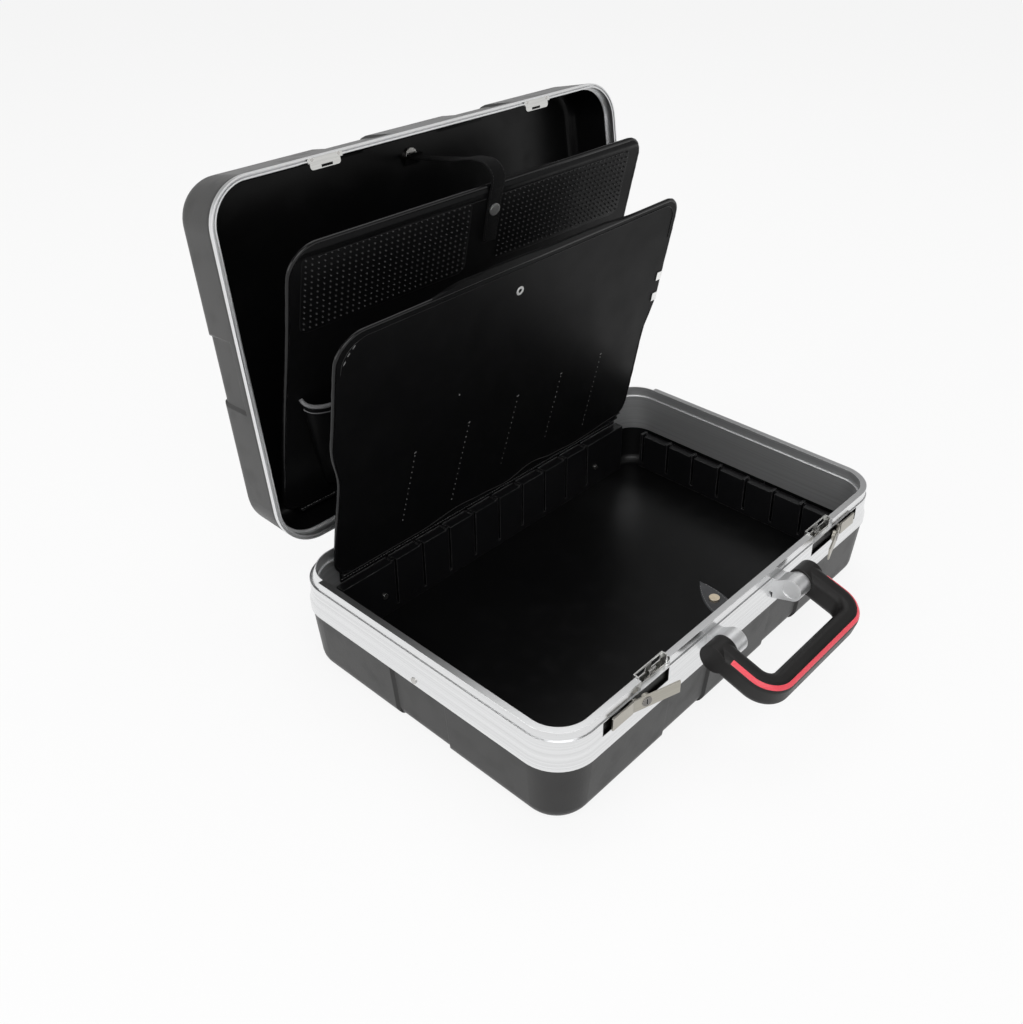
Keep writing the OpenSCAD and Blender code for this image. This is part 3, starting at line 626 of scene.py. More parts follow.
    @staticmethod
    def _floor() -> bpy.types.Material:
        """White studio floor that keeps the shadow of the case."""
        glow = 0.87
        s = Shader("studio_floor")
        s.set(Base_Color=s.blend(s.noise(1.5, 2.0), (0.92, 0.92, 0.92), (0.94, 0.94, 0.94)))
        s.set(Roughness=0.9, Specular_IOR_Level=0.1)
        rays = s.add("ShaderNodeLightPath").outputs
        seen = s.math("MAXIMUM", s.math("MAXIMUM", rays["Is Camera Ray"], rays["Is Glossy Ray"]),
                      rays["Is Transmission Ray"])
        mixed = s.add("ShaderNodeMixShader", Fac=s.math("MULTIPLY", seen, glow))
        s.fill(mixed.inputs[1], s.bsdf.outputs[0])
        s.fill(mixed.inputs[2], s.add("ShaderNodeEmission", Strength=1.0).outputs[0])
        out = next(n for n in s.tree.nodes if n.type == "OUTPUT_MATERIAL")
        s.fill(out.inputs["Surface"], mixed.outputs[0])
        return s.material


# ---- mesh building ----


@dataclass
class Mesh:
    """Collects points and faces and turns them into an object.

    Attributes:
        points: vertex positions.
        faces: vertex indices of each face.
        marks: material index of each face.
    """

    points: list[Vector] = field(default_factory=list)
    faces: list[tuple[int, ...]] = field(default_factory=list)
    marks: list[int] = field(default_factory=list)

    def add(self, points: Iterable[Vector], faces: Iterable[Sequence[int]], mark: int = 0) -> None:
        """Adds a patch whose faces count from its own first point.

        Args:
            points: the patch's points.
            faces: each face's points, counted from the patch's first.
            mark: material index.
        """
        start = len(self.points)
        self.points.extend(Vector(p) for p in points)
        for face in faces:
            self.faces.append(tuple(start + i for i in face))
            self.marks.append(mark)

    def add_rings(self, rings: Sequence[Sequence[Vector]], mark: int = 0, closed: bool = False,
                  caps: bool = True) -> None:
        """Joins rings of equal length into a skin.

        Args:
            rings: rings of points, each a closed loop.
            mark: material index.
            closed: whether the last ring joins the first.
            caps: whether an open skin gets end faces.
        """
        count, size = len(rings), len(rings[0])
        faces: list[tuple[int, ...]] = []
        for i in range(count if closed else count - 1):
            a, b = i * size, (i + 1) % count * size
            faces.extend((a + j, a + (j + 1) % size, b + (j + 1) % size, b + j) for j in range(size))
        if caps and not closed:
            faces.append(tuple(reversed(range(size))))
            faces.append(tuple((count - 1) * size + j for j in range(size)))
        self.add([p for ring in rings for p in ring], faces, mark)

    def add_tube(self, path: Sequence[Vector], radius: Callable[[float], float] | float, sides: int = 10,
                 mark: int = 0, closed: bool = False) -> None:
        """Sweeps a round section along a path.

        Args:
            path: middle line of the tube.
            radius: the tube's radius, or its radius at a share of the path.
            sides: how many sides the section has.
            mark: material index.
            closed: whether the path is a loop.
        """
        rings = []
        for i, (place, along, across) in enumerate(path_frames(path, closed)):
            r = radius(i / max(1, len(path) - 1)) if callable(radius) else radius
            up = along.cross(across)
            rings.append([
                place + (across * math.cos(a) + up * math.sin(a)) * r
                for a in (math.tau * j / sides for j in range(sides))
            ])
        self.add_rings(rings, mark, closed)

    def add_bead(self, place: Vector, along: Vector, length: float, radius: float, mark: int = 0) -> None:
        """Adds a short rounded bead, such as one stitch.

        Args:
            place: middle of the bead.
            along: direction that it lies in.
            length: its length.
            radius: its radius.
            mark: material index.
        """
        along = along.normalized()
        across = along.orthogonal().normalized()
        up = along.cross(across)
        rings = []
        for t, share in ((-0.5, 0.35), (-0.28, 0.95), (0.28, 0.95), (0.5, 0.35)):
            rings.append([
                place + along * (length * t) + (across * math.cos(a) + up * math.sin(a)) * (radius * share)
                for a in (math.tau * j / 6 for j in range(6))
            ])
        self.add_rings(rings, mark)

    def add_dome(self, place: Vector, normal: Vector, radius: float, height: float, sides: int = 8,
                 mark: int = 0) -> None:
        """Adds a small dome standing on a surface.

        Args:
            place: middle of its foot.
            normal: direction that it stands in.
            radius: radius of its foot.
            height: its height.
            sides: how many sides it has.
            mark: material index.
        """
        normal = normal.normalized()
        across = normal.orthogonal().normalized()
        up = normal.cross(across)
        rings = []
        for turn in (0.0, 0.55, 1.1, 1.45):
            r, h = radius * math.cos(turn), height * math.sin(turn)
            rings.append([
                place + normal * h + (across * math.cos(a) + up * math.sin(a)) * r
                for a in (math.tau * j / sides for j in range(sides))
            ])
        self.add_rings(rings, mark)

    def build(self, name: str, materials: Sequence[bpy.types.Material], place: Matrix | None = None,
              smooth: bool = True) -> bpy.types.Object:
        """Makes the object in the scene.

        Args:
            name: object name.
            materials: one material for each mark.
            place: where the points' own frame stands in the case's frame.
            smooth: whether faces are shaded smooth.

        Returns:
            The new object, with its points in the case's frame.
        """
        data = bpy.data.meshes.new(name)
        place = place or Matrix.Identity(4)
        data.from_pydata([place @ p for p in self.points], [], self.faces)
        for material in materials:
            data.materials.append(material)
        data.polygons.foreach_set("material_index", self.marks)
        data.polygons.foreach_set("use_smooth", [smooth] * len(self.faces))
        data.validate()
        data.update()
        made = bpy.data.objects.new(name, data)
        bpy.context.scene.collection.objects.link(made)
        return made


def path_frames(path: Sequence[Vector], closed: bool = False) -> list[tuple[Vector, Vector, Vector]]:
    """Gives place, direction and a steady cross direction at each point of a path.

    Args:
        path: points of the path.
        closed: whether the path is a loop.

    Returns:
        Place, direction and cross direction for each point.
    """
    count = len(path)
    frames = []
    across: Vector | None = None
    for i, place in enumerate(path):
        before = path[(i - 1) % count] if closed or i else place
        after = path[(i + 1) % count] if closed or i < count - 1 else place
        along = (after - before).normalized()
        if across is None:
            across = along.orthogonal().normalized()
        across = (across - along * across.dot(along)).normalized()
        frames.append((place, along, across))
    return frames


def smooth_path(points: Sequence[Vector], steps: int = 8) -> list[Vector]:
    """Runs a Catmull-Rom curve through points.

    Args:
        points: points that the curve passes.
        steps: how many steps lie between two of them.

    Returns:
        Points of the curve.
    """
    out: list[Vector] = []
    for i in range(len(points) - 1):
        a, b = points[max(i - 1, 0)], points[i]
        c, d = points[i + 1], points[min(i + 2, len(points) - 1)]
        for j in range(steps):
            t = j / steps
            out.append(0.5 * (
                2 * b + (c - a) * t + (2 * a - 5 * b + 4 * c - d) * t ** 2 + (3 * b - a - 3 * c + d) * t ** 3
            ))
    out.append(points[-1].copy())
    return out


def wave(value: float, *parts: tuple[float, float, float]) -> float:
    """Adds sine waves, each given as height, length and phase.

    Args:
        value: place to look up.
        *parts: height, length and phase of each wave.

    Returns:
        Sum of the waves at the place.
    """
    return sum(height * math.sin(math.tau * value / length + phase) for height, length, phase in parts)


def bell(value: float, middle: float, width: float) -> float:
    """Gives a smooth bump of height 1 round a middle."""
    return math.exp(-((value - middle) / width) ** 2)


def through(value: float, marks: Sequence[tuple[float, float]]) -> float:
    """Runs smoothly through marks.

    Args:
        value: place to look up, in metres.
        marks: places and heights in millimetres, in order of place.

    Returns:
        The height at the place, in metres.
    """
    place = value / MM
    for (a, low), (b, high) in zip(marks, marks[1:]):
        if place <= b:
            t = max(0.0, (place - a) / (b - a))
            return MM * (low + (high - low) * t * t * (3 - 2 * t))
    return MM * marks[-1][1]


# ---- sewn boards ----


@dataclass(frozen=True)
class BoardShape:
    """Measures of one sewn board in its own frame: x across, z up from its hinge, front at -y.

    Attributes:
        place: the board's own frame in the case's frame.
        width: width between the middles of the bound edges.
        length: height of the top binding's middle above the hinge line.
        corners: radius of the left and the right top corner.
        foot: radius of the lower corners.
        half: half of the board's thickness.
        start: height of the lower edge above the hinge line.
        inset: how far the side edge lies inside the width at a height.
        top: how far the top edge lies above the length at a place across.
        shift: how far the board lies off the middle.
    """

    place: Matrix
    width: float
    length: float
    corners: tuple[float, float]
    foot: float
    half: float
    start: float
    inset: Callable[[float], float]
    top: Callable[[float], float]
    shift: float = 0.0

    def reach(self, z: float, right: bool) -> float:
        """Gives the board's reach to one side at a height, with its round corners.

        Args:
            z: height above the hinge line.
            right: whether the right side is meant.

        Returns:
            Distance from the middle to the edge.
        """
        half = self.width / 2 - self.inset(z)
        corner = self.corners[right]
        above = z - (self.length - corner)
        below = self.start + self.foot - z
        if above > 0:
            half -= corner - math.sqrt(max(corner ** 2 - min(above, corner) ** 2, 0.0))
        if below > 0:
            half -= self.foot - math.sqrt(max(self.foot ** 2 - min(below, self.foot) ** 2, 0.0))
        return half

    def at(self, u: float, v: float) -> tuple[float, float]:
        """Maps 0..1 across and up to x and z on the board.

        Args:
            u: share of the way from the left to the right edge.
            v: share of the way from the lower to the top edge.

        Returns:
            The place across and the height.
        """
        flat = self.start + (self.length - self.start) * v
        x = self.shift + (2 * u - 1) * self.reach(flat, u > 0.5)
        lift = bell(v, 1.0, 0.12)
        return x, flat + lift * self.top(x)

    def rows(self, count: int) -> list[float]:
        """Gives heights from 0 to 1, closer together at both ends."""
        return [0.5 - 0.5 * math.cos(math.pi * i / count) for i in range(count + 1)]

    def rim(self, steps: int = 60, inside: float = 0.0) -> list[Vector]:
        """Gives the edge as a loop of points at the board's mid thickness.

        Args:
            steps: how many steps each side has.
            inside: how far the loop lies inside the edge.

        Returns:
            Points of the loop, none closer together than a seam needs.
        """
        span = self.length - self.start
        loop = [Vector((*self.at(1.0, v), 0.0)) for v in self.rows(steps)]
        loop += [Vector((*self.at(0.0, v), 0.0)) for v in reversed(self.rows(steps))]
        points = [Vector((p.x, 0.0, p.y)) for p in loop]
        if inside:
            middle = Vector((0.0, 0.0, self.start + span / 2))
            scale = Vector((1 - 2 * inside / self.width, 1.0, 1 - 2 * inside / span))
            points = [
                middle + Vector((scale.x * (p.x - middle.x), 0.0, scale.z * (p.z - middle.z))) for p in points
            ]
        closest = 1.2 * MM
        spaced = [points[0]]
        for p in points[1:]:
            if (p - spaced[-1]).length > closest:
                spaced.append(p)
        if (spaced[-1] - spaced[0]).length < closest:
            spaced.pop()
        return spaced

    def panel(self, mesh: Mesh, relief: Callable[[float, float], float], columns: int = 150,
              rows: int = 110) -> None:
        """Adds front and back faces, the front standing out by the relief.

        Args:
            mesh: mesh that takes the faces.
            relief: how far the front face stands out at a place.
            columns: how many steps the panel has across.
            rows: how many steps it has up.
        """
        heights = self.rows(rows)
        rings = []
        for v in heights:
            front, back = [], []
            for i in range(columns + 1):
                u = 0.5 - 0.5 * math.cos(math.pi * i / columns) if i in (1, columns - 1) else i / columns
                x, z = self.at(u, v)
                front.append(Vector((x, -self.half - relief(x, z), z)))
                back.append(Vector((x, self.half, z)))
            rings.append(front + list(reversed(back)))
        mesh.add_rings(rings)


class Extent:
    """The box round some CAD nodes, in a frame of its own.

    Attributes:
        low: lowest corner.
        high: highest corner.
    """

    def __init__(self, nodes: dict[str, bpy.types.Object], names: Sequence[str], place: Matrix) -> None:
        """Measures the nodes.

        Args:
            nodes: the frame's CAD objects by name.
            names: nodes to measure together.
            place: the frame to measure them in.
        """
        back = place.inverted()
        points = [back @ v.co for name in names for v in nodes[name].data.vertices]
        self.low = Vector([min(p[i] for p in points) for i in range(3)])
        self.high = Vector([max(p[i] for p in points) for i in range(3)])

    @property
    def middle(self) -> Vector:
        """Middle of the box."""
        return (self.low + self.high) / 2

    @property
    def size(self) -> Vector:
        """Size of the box."""
        return self.high - self.low


@dataclass
class Case:
    """The loaded frame and the finishes that every sub-assembly needs.

    Attributes:
        nodes: CAD objects by name.
        joints: the record's joints by name.
        finishes: all materials.
        lid_turn: angle in radians from the closed to the open lid.
    """

    nodes: dict[str, bpy.types.Object]
    joints: dict[str, dict]
    finishes: Finishes
    lid_turn: float

    def hinge_frame(self, joint: str, lean: float) -> Matrix:
        """Gives a board's own frame: on its hinge line, leaning forward by an angle."""
        return Matrix.Translation(self.joints[joint]["pos_m"]) @ Matrix.Rotation(lean, 4, "X")

    def extent(self, place: Matrix, *names: str) -> Extent:
        """Measures CAD nodes in a frame."""
        return Extent(self.nodes, names, place)

    def paint(self, material: bpy.types.Material, *names: str) -> None:
        """Gives CAD nodes a material in each of their slots."""
        for name in names:
            for slot in self.nodes[name].material_slots:
                slot.material = material


def finish_piece(piece: bpy.types.Object, body: str, slot: Slot, *stands_for: str) -> None:
    """Lets a piece ride on a body and hides what it stands for.

    Args:
        piece: the piece.
        body: the body that it rides on.
        slot: not used.
        *stands_for: CAD nodes that it stands for.
    """
    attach(piece, body)
    if stands_for:
        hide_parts(*stands_for)


@dataclass(frozen=True)
class Stitching:
    """A row of stitches.

    Attributes:
        pitch: distance from stitch to stitch.
        length: length of one stitch.
        radius: radius of the thread.
    """

    pitch: float
    length: float
    radius: float

    def sew(self, mesh: Mesh, path: Sequence[Vector], mark: int = 0) -> None:
        """Lays the row along a path.

        Args:
            mesh: mesh that takes the stitches.
            path: points of the seam.
            mark: material index.
        """
        left = self.pitch / 2
        for a, b in zip(path, path[1:]):
            span = (b - a).length
            while left < span:
                mesh.add_bead(a.lerp(b, left / span), b - a, self.length, self.radius, mark)
                left += self.pitch
            left -= span


@dataclass
class SewnBoard:
    """What both boards share: a leatherette panel round a core, with a soft root and a bound edge.

    Attributes:
        case: the case that the board belongs to.
        joint: the joint that the board folds on.
        body: the body that the board rides on.
        lean: how far the board leans forward, in radians.
        binding: radius of the bound edge.
        foot: radius of the lower corners.
        corners: radius of the left and the right top corner.
        cord: radius of the cord that is sewn in inside the top edge.
        half: half of the board's thickness.
        start: height of the lower edge above the hinge line.
        root: radius of the soft root that lies in the hinge strip.
        cord_proud: how far the middle of that cord lies in front of the core.
    """

    case: Case
    joint: str
    body: str
    lean: float
    binding: float
    foot: float
    corners: tuple[float, float]
    cord: float
    half: float = 1.45 * MM
    start: float = 1.0 * MM
    root: float = 2.1 * MM
    cord_proud: float = 0.42 * MM

    def measure(self, nodes: Sequence[str], inset: Callable[[float], float],
                top: Callable[[float], float], shift: float = 0.0) -> BoardShape:
        """Measures the board on its CAD solids.

        Args:
            nodes: CAD nodes of the core and its edge.
            inset: how far the side edge lies inside the width at a height.
            top: how far the top edge lies above the length at a place across.
            shift: how far the board lies off the middle.

        Returns:
            Measures of the board in its own frame.
        """
        place = self.case.hinge_frame(self.joint, self.lean)
        box = self.case.extent(place, *nodes)
        return BoardShape(
            place=place, width=box.size.x - 2 * self.binding, length=box.high.z - self.binding,
            corners=self.corners, foot=self.foot, half=self.half, start=self.start, inset=inset, top=top,
            shift=shift,
        )

    def panel(self, shape: BoardShape, relief: Callable[[float, float], float], node: str,
              strip: str) -> None:
        """Makes the panel with its root.

        Args:
            shape: measures of the board.
            relief: how far the front face stands out at a place.
            node: CAD node that the panel stands for.
            strip: CAD node of the strip that holds the root.
        """
        mesh = Mesh()
        shape.panel(mesh, relief)
        held = self.case.extent(shape.place, strip)
        mesh.add_tube([Vector((x, 0.0, 0.0)) for x in (held.low.x, 0.0, held.high.x)], self.root, 14)
        panel = mesh.build(f"{self.body}_panel", [self.case.finishes.leather], shape.place)
        finish_piece(panel, self.body, Slot.BOARD, node)

    def bind(self, mesh: Mesh, shape: BoardShape, *puckers: tuple[float, float, float]) -> None:
        """Adds the bound edge, uneven by waves along its way round.

        Args:
            mesh: mesh that takes the edge.
            shape: measures of the board.
            *puckers: height, length and phase of each wave.
        """
        mesh.add_tube(shape.rim(), lambda t: self.binding * (1 + wave(t, *puckers)), 12, closed=True)

    def finish_binding(self, mesh: Mesh, shape: BoardShape, node: str) -> None:
        """Makes the binding's piece, which stands for a CAD node.

        Args:
            mesh: mesh of the binding.
            shape: measures of the board.
            node: the CAD node.
        """
        bound = mesh.build(f"{self.body}_binding", [self.case.finishes.gloss_leather], shape.place)
        finish_piece(bound, self.body, Slot.TRIM, node)

    def top_seam(self, shape: BoardShape, inside: float, below: float) -> list[Vector]:
        """Gives the line that runs inside the top edge.

        Args:
            shape: measures of the board.
            inside: how far the line lies inside the edge.
            below: how far down from the board's length it reaches.

        Returns:
            Points of the line, just in front of the core.
        """
        return [
            Vector((p.x, -shape.half - self.cord_proud, p.z))
            for p in shape.rim(inside=inside) if p.z > shape.length - below
        ]


@dataclass
class FrontBoard(SewnBoard):
    """The sewn board that leans over the base, with its bound edge, seams and back pockets.

    Attributes:
        seams: each upright seam's top and foot, as x, z, x and z in millimetres.
        corner_stitches: x and z in millimetres of the loose stitches at the left top corner.
        rivet: x and z in millimetres of the small rivet in the face.
        top_line: marks of the top edge, as place and height in millimetres.
        side_line: marks of the sides, as height and inset in millimetres.
        hem_line: marks of the wavy hem, as place and height in millimetres.
        hem_radius: radius of the hem.
        seam: stitches of the upright seams.
        edge_seam: stitches inside the top edge.
        tack_length: length of the cross stitch on top of each seam.
        loose_length: length of the loose stitches.
        pocket_count: how many pockets there are on the back.
        pocket_steps: how many steps a pocket's mesh has across and up.
        pocket_gap: distance between the pockets.
        pocket_skin: thickness of their leatherette.
        pocket_hem: radius of their elastic hem.
        pocket_seam: stitches down their sides.
    """

    joint: str = "front_board_fold"
    body: str = "front_board"
    lean: float = math.radians(11.0)
    binding: float = 2.0 * MM
    foot: float = 24.0 * MM
    corners: tuple[float, float] = (28.0 * MM, 18.0 * MM)
    cord: float = 0.42 * MM
    seams: tuple[tuple[float, float, float, float], ...] = (
        (-125, 111, -133, 29), (-56, 114, -67, 19), (11.5, 116, 1.5, 31), (77, 116, 69, 34),
        (141, 115, 134, 20),
    )
    corner_stitches: tuple[tuple[float, float], ...] = ((-205.5, 262.0), (-210.5, 256.5), (-214.5, 249.5))
    rivet: tuple[float, float] = (-75.0, 157.0)
    top_line: tuple[tuple[float, float], ...] = (
        (-205, -6.0), (-140, -5.0), (-84, 3.6), (-70, 3.2), (-57, 5.2), (-15, 5.2), (23, 4.2), (67, 5.0),
        (102, 4.6), (132, 2.4), (200, 2.0),
    )
    side_line: tuple[tuple[float, float], ...] = ((70, 10.6), (116, 10.2), (166, 0.6), (210, 0.0))
    hem_line: tuple[tuple[float, float], ...] = (
        (-225, 2.0), (-105, 2.2), (-55, 7.5), (-26, 5.1), (14, 2.0), (52, 10.0), (87, 4.4), (124, 2.2),
        (200, 7.5),
    )
    hem_radius: float = 1.1 * MM
    seam: Stitching = Stitching(6.4 * MM, 1.3 * MM, 0.50 * MM)
    edge_seam: Stitching = Stitching(4.0 * MM, 2.2 * MM, 0.28 * MM)
    tack_length: float = 3.0 * MM
    loose_length: float = 4.2 * MM
    pocket_count: int = 4
    pocket_steps: int = 24
    pocket_gap: float = 6.0 * MM
    pocket_skin: float = 0.9 * MM
    pocket_hem: float = 1.3 * MM
    pocket_seam: Stitching = Stitching(3.3 * MM, 2.1 * MM, 0.35 * MM)

    def relief(self, x: float, z: float) -> float:
        """Gives how far the front face stands out: slack leatherette over a stiff core."""
        slack = wave(x, (0.22 * MM, 0.137, 0.9)) * bell(z, 0.06, 0.07)
        return 0.25 * MM + slack + wave(z + 0.3 * x, (0.12 * MM, 0.21, 0.0))

    def build(self) -> None:
        """Makes the board's pieces and hides the solids that they stand for."""
        shape = self.measure(
            ("board_front", "board_front_piping"),
            inset=lambda z: through(z, self.side_line) + wave(z, (0.3 * MM, 0.09, 0.3)),
            top=lambda x: through(x, self.top_line),
        )
        self.panel(shape, self.relief, "board_front", "board_hinge_strip")
        edge = Mesh()
        self.bind(edge, shape, (0.05, 0.013, 0.0), (0.04, 0.031, 1.0))
        edge.add_tube(self._hem(shape), self.hem_radius, 8)
        self.finish_binding(edge, shape, "board_front_piping")
        self._stitches(shape)
        self._pockets(shape)

    def _hem(self, shape: BoardShape, count: int = 120) -> list[Vector]:
        """Gives the wavy hem's line from side to side, just in front of the panel.

        Args:
            shape: measures of the board.
            count: how many steps the line has.

        Returns:
            Points of the line.
        """
        half = shape.reach(0.012, True) - 4 * MM
        places = [-half + 2 * half * i / count for i in range(count + 1)]
        return [Vector((x, -shape.half - 0.9 * MM, through(x, self.hem_line))) for x in places]

    def _stitches(self, shape: BoardShape) -> None:
        """Makes the upright seams, the loose stitches, the small rivet and the seam inside the top edge.

        Args:
            shape: measures of the board.
        """
        thread, radius = Mesh(), self.seam.radius
        for seam in self.seams:
            x, top, foot_x, foot = (v * MM for v in seam)
            y = -shape.half - self.relief(x, top) - 0.1 * MM
            self.seam.sew(thread, [Vector((foot_x, y, foot)), Vector((x, y, top))])
            thread.add_bead(Vector((x, y, top + 1.5 * MM)), Vector((1, 0, 0.3)), self.tack_length, radius)
        for x, z in self.corner_stitches:
            place = Vector((x * MM, -shape.half - 0.35 * MM, z * MM))
            thread.add_bead(place, Vector((0.7, 0, 1)), self.loose_length, radius)
        x, z = self.rivet
        rivet = Vector((x * MM, -shape.half - 0.3 * MM, z * MM))
        thread.add_dome(rivet, Vector((0, -1, 0)), 0.9 * MM, 0.7 * MM)
        inner = self.top_seam(shape, 5.0 * MM, 45.0 * MM)
        thread.add_tube(inner, self.cord, 6, 1)
        self.edge_seam.sew(thread, [p + Vector((0, -0.25 * MM, 0)) for p in inner], 1)
        finishes = self.case.finishes
        sewn = thread.build("front_board_stitches", [finishes.thread, finishes.gloss_leather], shape.place)
        finish_piece(sewn, self.body, Slot.TRIM)

    def _pockets(self, shape: BoardShape) -> None:
        """Makes the soft pockets on the back, open at the top with an elastic hem.

        Args:
            shape: measures of the board.
        """
        finishes, steps = self.case.finishes, self.pocket_steps
        box = self.case.extent(shape.place, "board_front_pockets")
        mesh, hems = Mesh(), Mesh()
        for number in range(self.pocket_count):
            rings = [self._pocket_ring(shape, box, number, i / steps) for i in range(steps + 1)]
            mesh.add_rings(rings)
            lip = rings[-1][:steps + 1]
            hems.add_tube([p + Vector((0, -0.3 * MM, -1.0 * MM)) for p in lip], self.pocket_hem, 8)
            for side in (0, steps):
                column = [ring[side] + Vector((0, 0.4 * MM, 0)) for ring in rings]
                self.pocket_seam.sew(hems, column, 1)
        pockets = mesh.build("back_pockets", [finishes.leather], shape.place)
        finish_piece(pockets, self.body, Slot.BOARD, "board_front_pockets")
        hem = hems.build("back_pocket_hems", [finishes.webbing, finishes.thread], shape.place)
        finish_piece(hem, self.body, Slot.TRIM)

    def _pocket_ring(self, shape: BoardShape, box: Extent, number: int, w: float) -> list[Vector]:
        """Gives one level of a pocket: its bellied outer skin and the inner one.

        Args:
            shape: measures of the board.
            box: box of all the pockets.
            number: which pocket it is, from the left.
            w: height of the level, from 0 to 1.

        Returns:
            Points across the outer skin and back along the inner one.
        """
        width = (box.size.x - self.pocket_gap * (self.pocket_count - 1)) / self.pocket_count
        left = box.low.x + number * (width + self.pocket_gap)
        deep, skin = box.high.y - shape.half, self.pocket_skin
        z = box.low.z + box.size.z * w
        outer, inner = [], []
        for j in range(self.pocket_steps + 1):
            u = j / self.pocket_steps
            round_off = math.sin(math.pi * u) ** 0.55
            gather = wave(u, (0.35 * MM, 0.13, 0.4 * number)) * bell(w, 1.0, 0.25) * round_off
            out = max(skin, (0.30 + 0.70 * w ** 0.8) * deep * round_off * 0.93) + gather
            sag = -2.2 * MM * math.sin(math.pi * u) * bell(w, 1.0, 0.3)
            x = left + width * u
            outer.append(Vector((x, shape.half + out, z + sag)))
            inner.append(Vector((x, shape.half + max(out - skin, 0.05 * MM), z + sag)))
        return outer + list(reversed(inner))


@dataclass
class LidBoard(SewnBoard):
    """The sewn board in the lid, with its pin fields, pouch, loop and strap.

    Attributes:
        shift: how far the board lies off the middle.
        ridge: how far the padded ridge below the top edge stands out.
        ridge_drop: how far the ridge lies below the board's length.
        top_line: marks of the top edge, as place and height in millimetres.
        pin_pitch: distance between the pins across and up.
        pin: radius and height of a pin.
        mat_corner: radius of the corners of a pin mat.
        pouch_spread: how far the pouch's middle lies to the left of its solid's, and how much wider
            the pouch is.
        pouch_lean: how far the pouch's foot lies to the right of its mouth.
        pouch_skin: thickness of the pouch's leatherette.
        pouch_rim: radius of the binding round its mouth.
        loop_thick: thickness of the elastic loop.
        strap_thick: thickness of the strap.
        strap_seam: stitches along the strap's edges.
    """

    joint: str = "lid_board_fold"
    body: str = "lid_board"
    lean: float = math.radians(11.8)
    binding: float = 2.2 * MM
    foot: float = 16.0 * MM
    corners: tuple[float, float] = (28.0 * MM, 21.0 * MM)
    cord: float = 0.5 * MM
    shift: float = 2.0 * MM
    ridge: float = 1.8 * MM
    ridge_drop: float = 6.5 * MM
    top_line: tuple[tuple[float, float], ...] = (
        (-190, -1.6), (-30, -1.4), (20, 1.4), (62, 2.0), (107, -0.4), (169, -2.2), (210, -1.4),
    )
    pin_pitch: tuple[float, float] = (6.5 * MM, 5.5 * MM)
    pin: tuple[float, float] = (1.0 * MM, 1.5 * MM)
    mat_corner: float = 9.0 * MM
    pouch_spread: float = 9.0 * MM
    pouch_lean: float = 13.0 * MM
    pouch_skin: float = 1.2 * MM
    pouch_rim: float = 1.9 * MM
    loop_thick: float = 1.3 * MM
    strap_thick: float = 1.5 * MM
    strap_seam: Stitching = Stitching(3.2 * MM, 2.2 * MM, 0.3 * MM)

    def relief(self, x: float, above: float) -> float:
        """Gives how far the front face stands out, with the ridge parted behind the strap.

        Args:
            x: place across.
            above: how far the place lies above the ridge.

        Returns:
            How far the face stands in front of the core.
        """
        ridge = self.ridge * bell(above, 0.0, 3.4 * MM) * (1 - bell(x, 0.008, 0.013))
        return 0.2 * MM + ridge + wave(x, (0.12 * MM, 0.19, 0.5))

    def build(self) -> None:
        """Makes the board's pieces and hides the solids that they stand for."""
        shape = self.measure(
            ("board_lid", "board_lid_piping"),
            inset=lambda z: wave(z, (0.5 * MM, 0.17, 0.8)),
            top=lambda x: through(x, self.top_line),
            shift=self.shift,
        )
        ridge_z = shape.length - self.ridge_drop
        self.panel(shape, lambda x, z: self.relief(x, z - ridge_z), "board_lid", "lid_board_hinge")
        edge = Mesh()
        self.bind(edge, shape, (0.05, 0.017, 0.0), (0.03, 0.041, 1.0))
        edge.add_tube(self.top_seam(shape, 12.0 * MM, 16.0 * MM), self.cord, 6)
        self.finish_binding(edge, shape, "board_lid_piping")
        for side in SIDES:
            self._pins(shape.place, f"grid_{side}", f"pin_field_{side}")
        self._pouch(shape.place)
        self._loop(shape.place)
        self._strap(shape)

    def _pins(self, place: Matrix, node: str, name: str) -> None:
        """Makes rows of small pins on a thin mat with round corners.

        Args:
            place: the board's own frame.
            node: CAD node that the field stands for.
            name: name of the piece.
        """
        box = self.case.extent(place, node)
        mesh = Mesh()
        round_r, back = self.mat_corner, box.high.y
        face = back - 0.25 * box.size.y
        rings = []
        for depth, inset in ((0.0, 0.0), (0.6, 0.0), (1.0, 0.6 * MM)):
            y = back + (face - back) * depth
            ring = []
            for cx, cz, turn in ((1, 1, 0), (-1, 1, 90), (-1, -1, 180), (1, -1, 270)):
                mx = box.middle.x + cx * (box.size.x / 2 - round_r)
                mz = box.middle.z + cz * (box.size.z / 2 - round_r)
                for k in range(7):
                    a = math.radians(turn + 15 * k)
                    r = round_r - inset
                    ring.append(Vector((mx + r * math.cos(a), y, mz + r * math.sin(a))))
            rings.append(ring)
        mesh.add_rings(rings)
        (across, up), border = self.pin_pitch, 5 * MM
        columns = int((box.size.x - border) / across)
        rows = int((box.size.z - border) / up)
        for i in range(columns + 1):
            for j in range(rows + 1):
                x = box.middle.x + (i - columns / 2) * across
                z = box.middle.z + (j - rows / 2) * up
                mesh.add_dome(Vector((x, face, z)), Vector((0, -1, 0)), *self.pin, 8, 1)
        mat = mesh.build(name, [self.case.finishes.leather, self.case.finishes.pin_mat], place)
        finish_piece(mat, self.body, Slot.LINER, node)

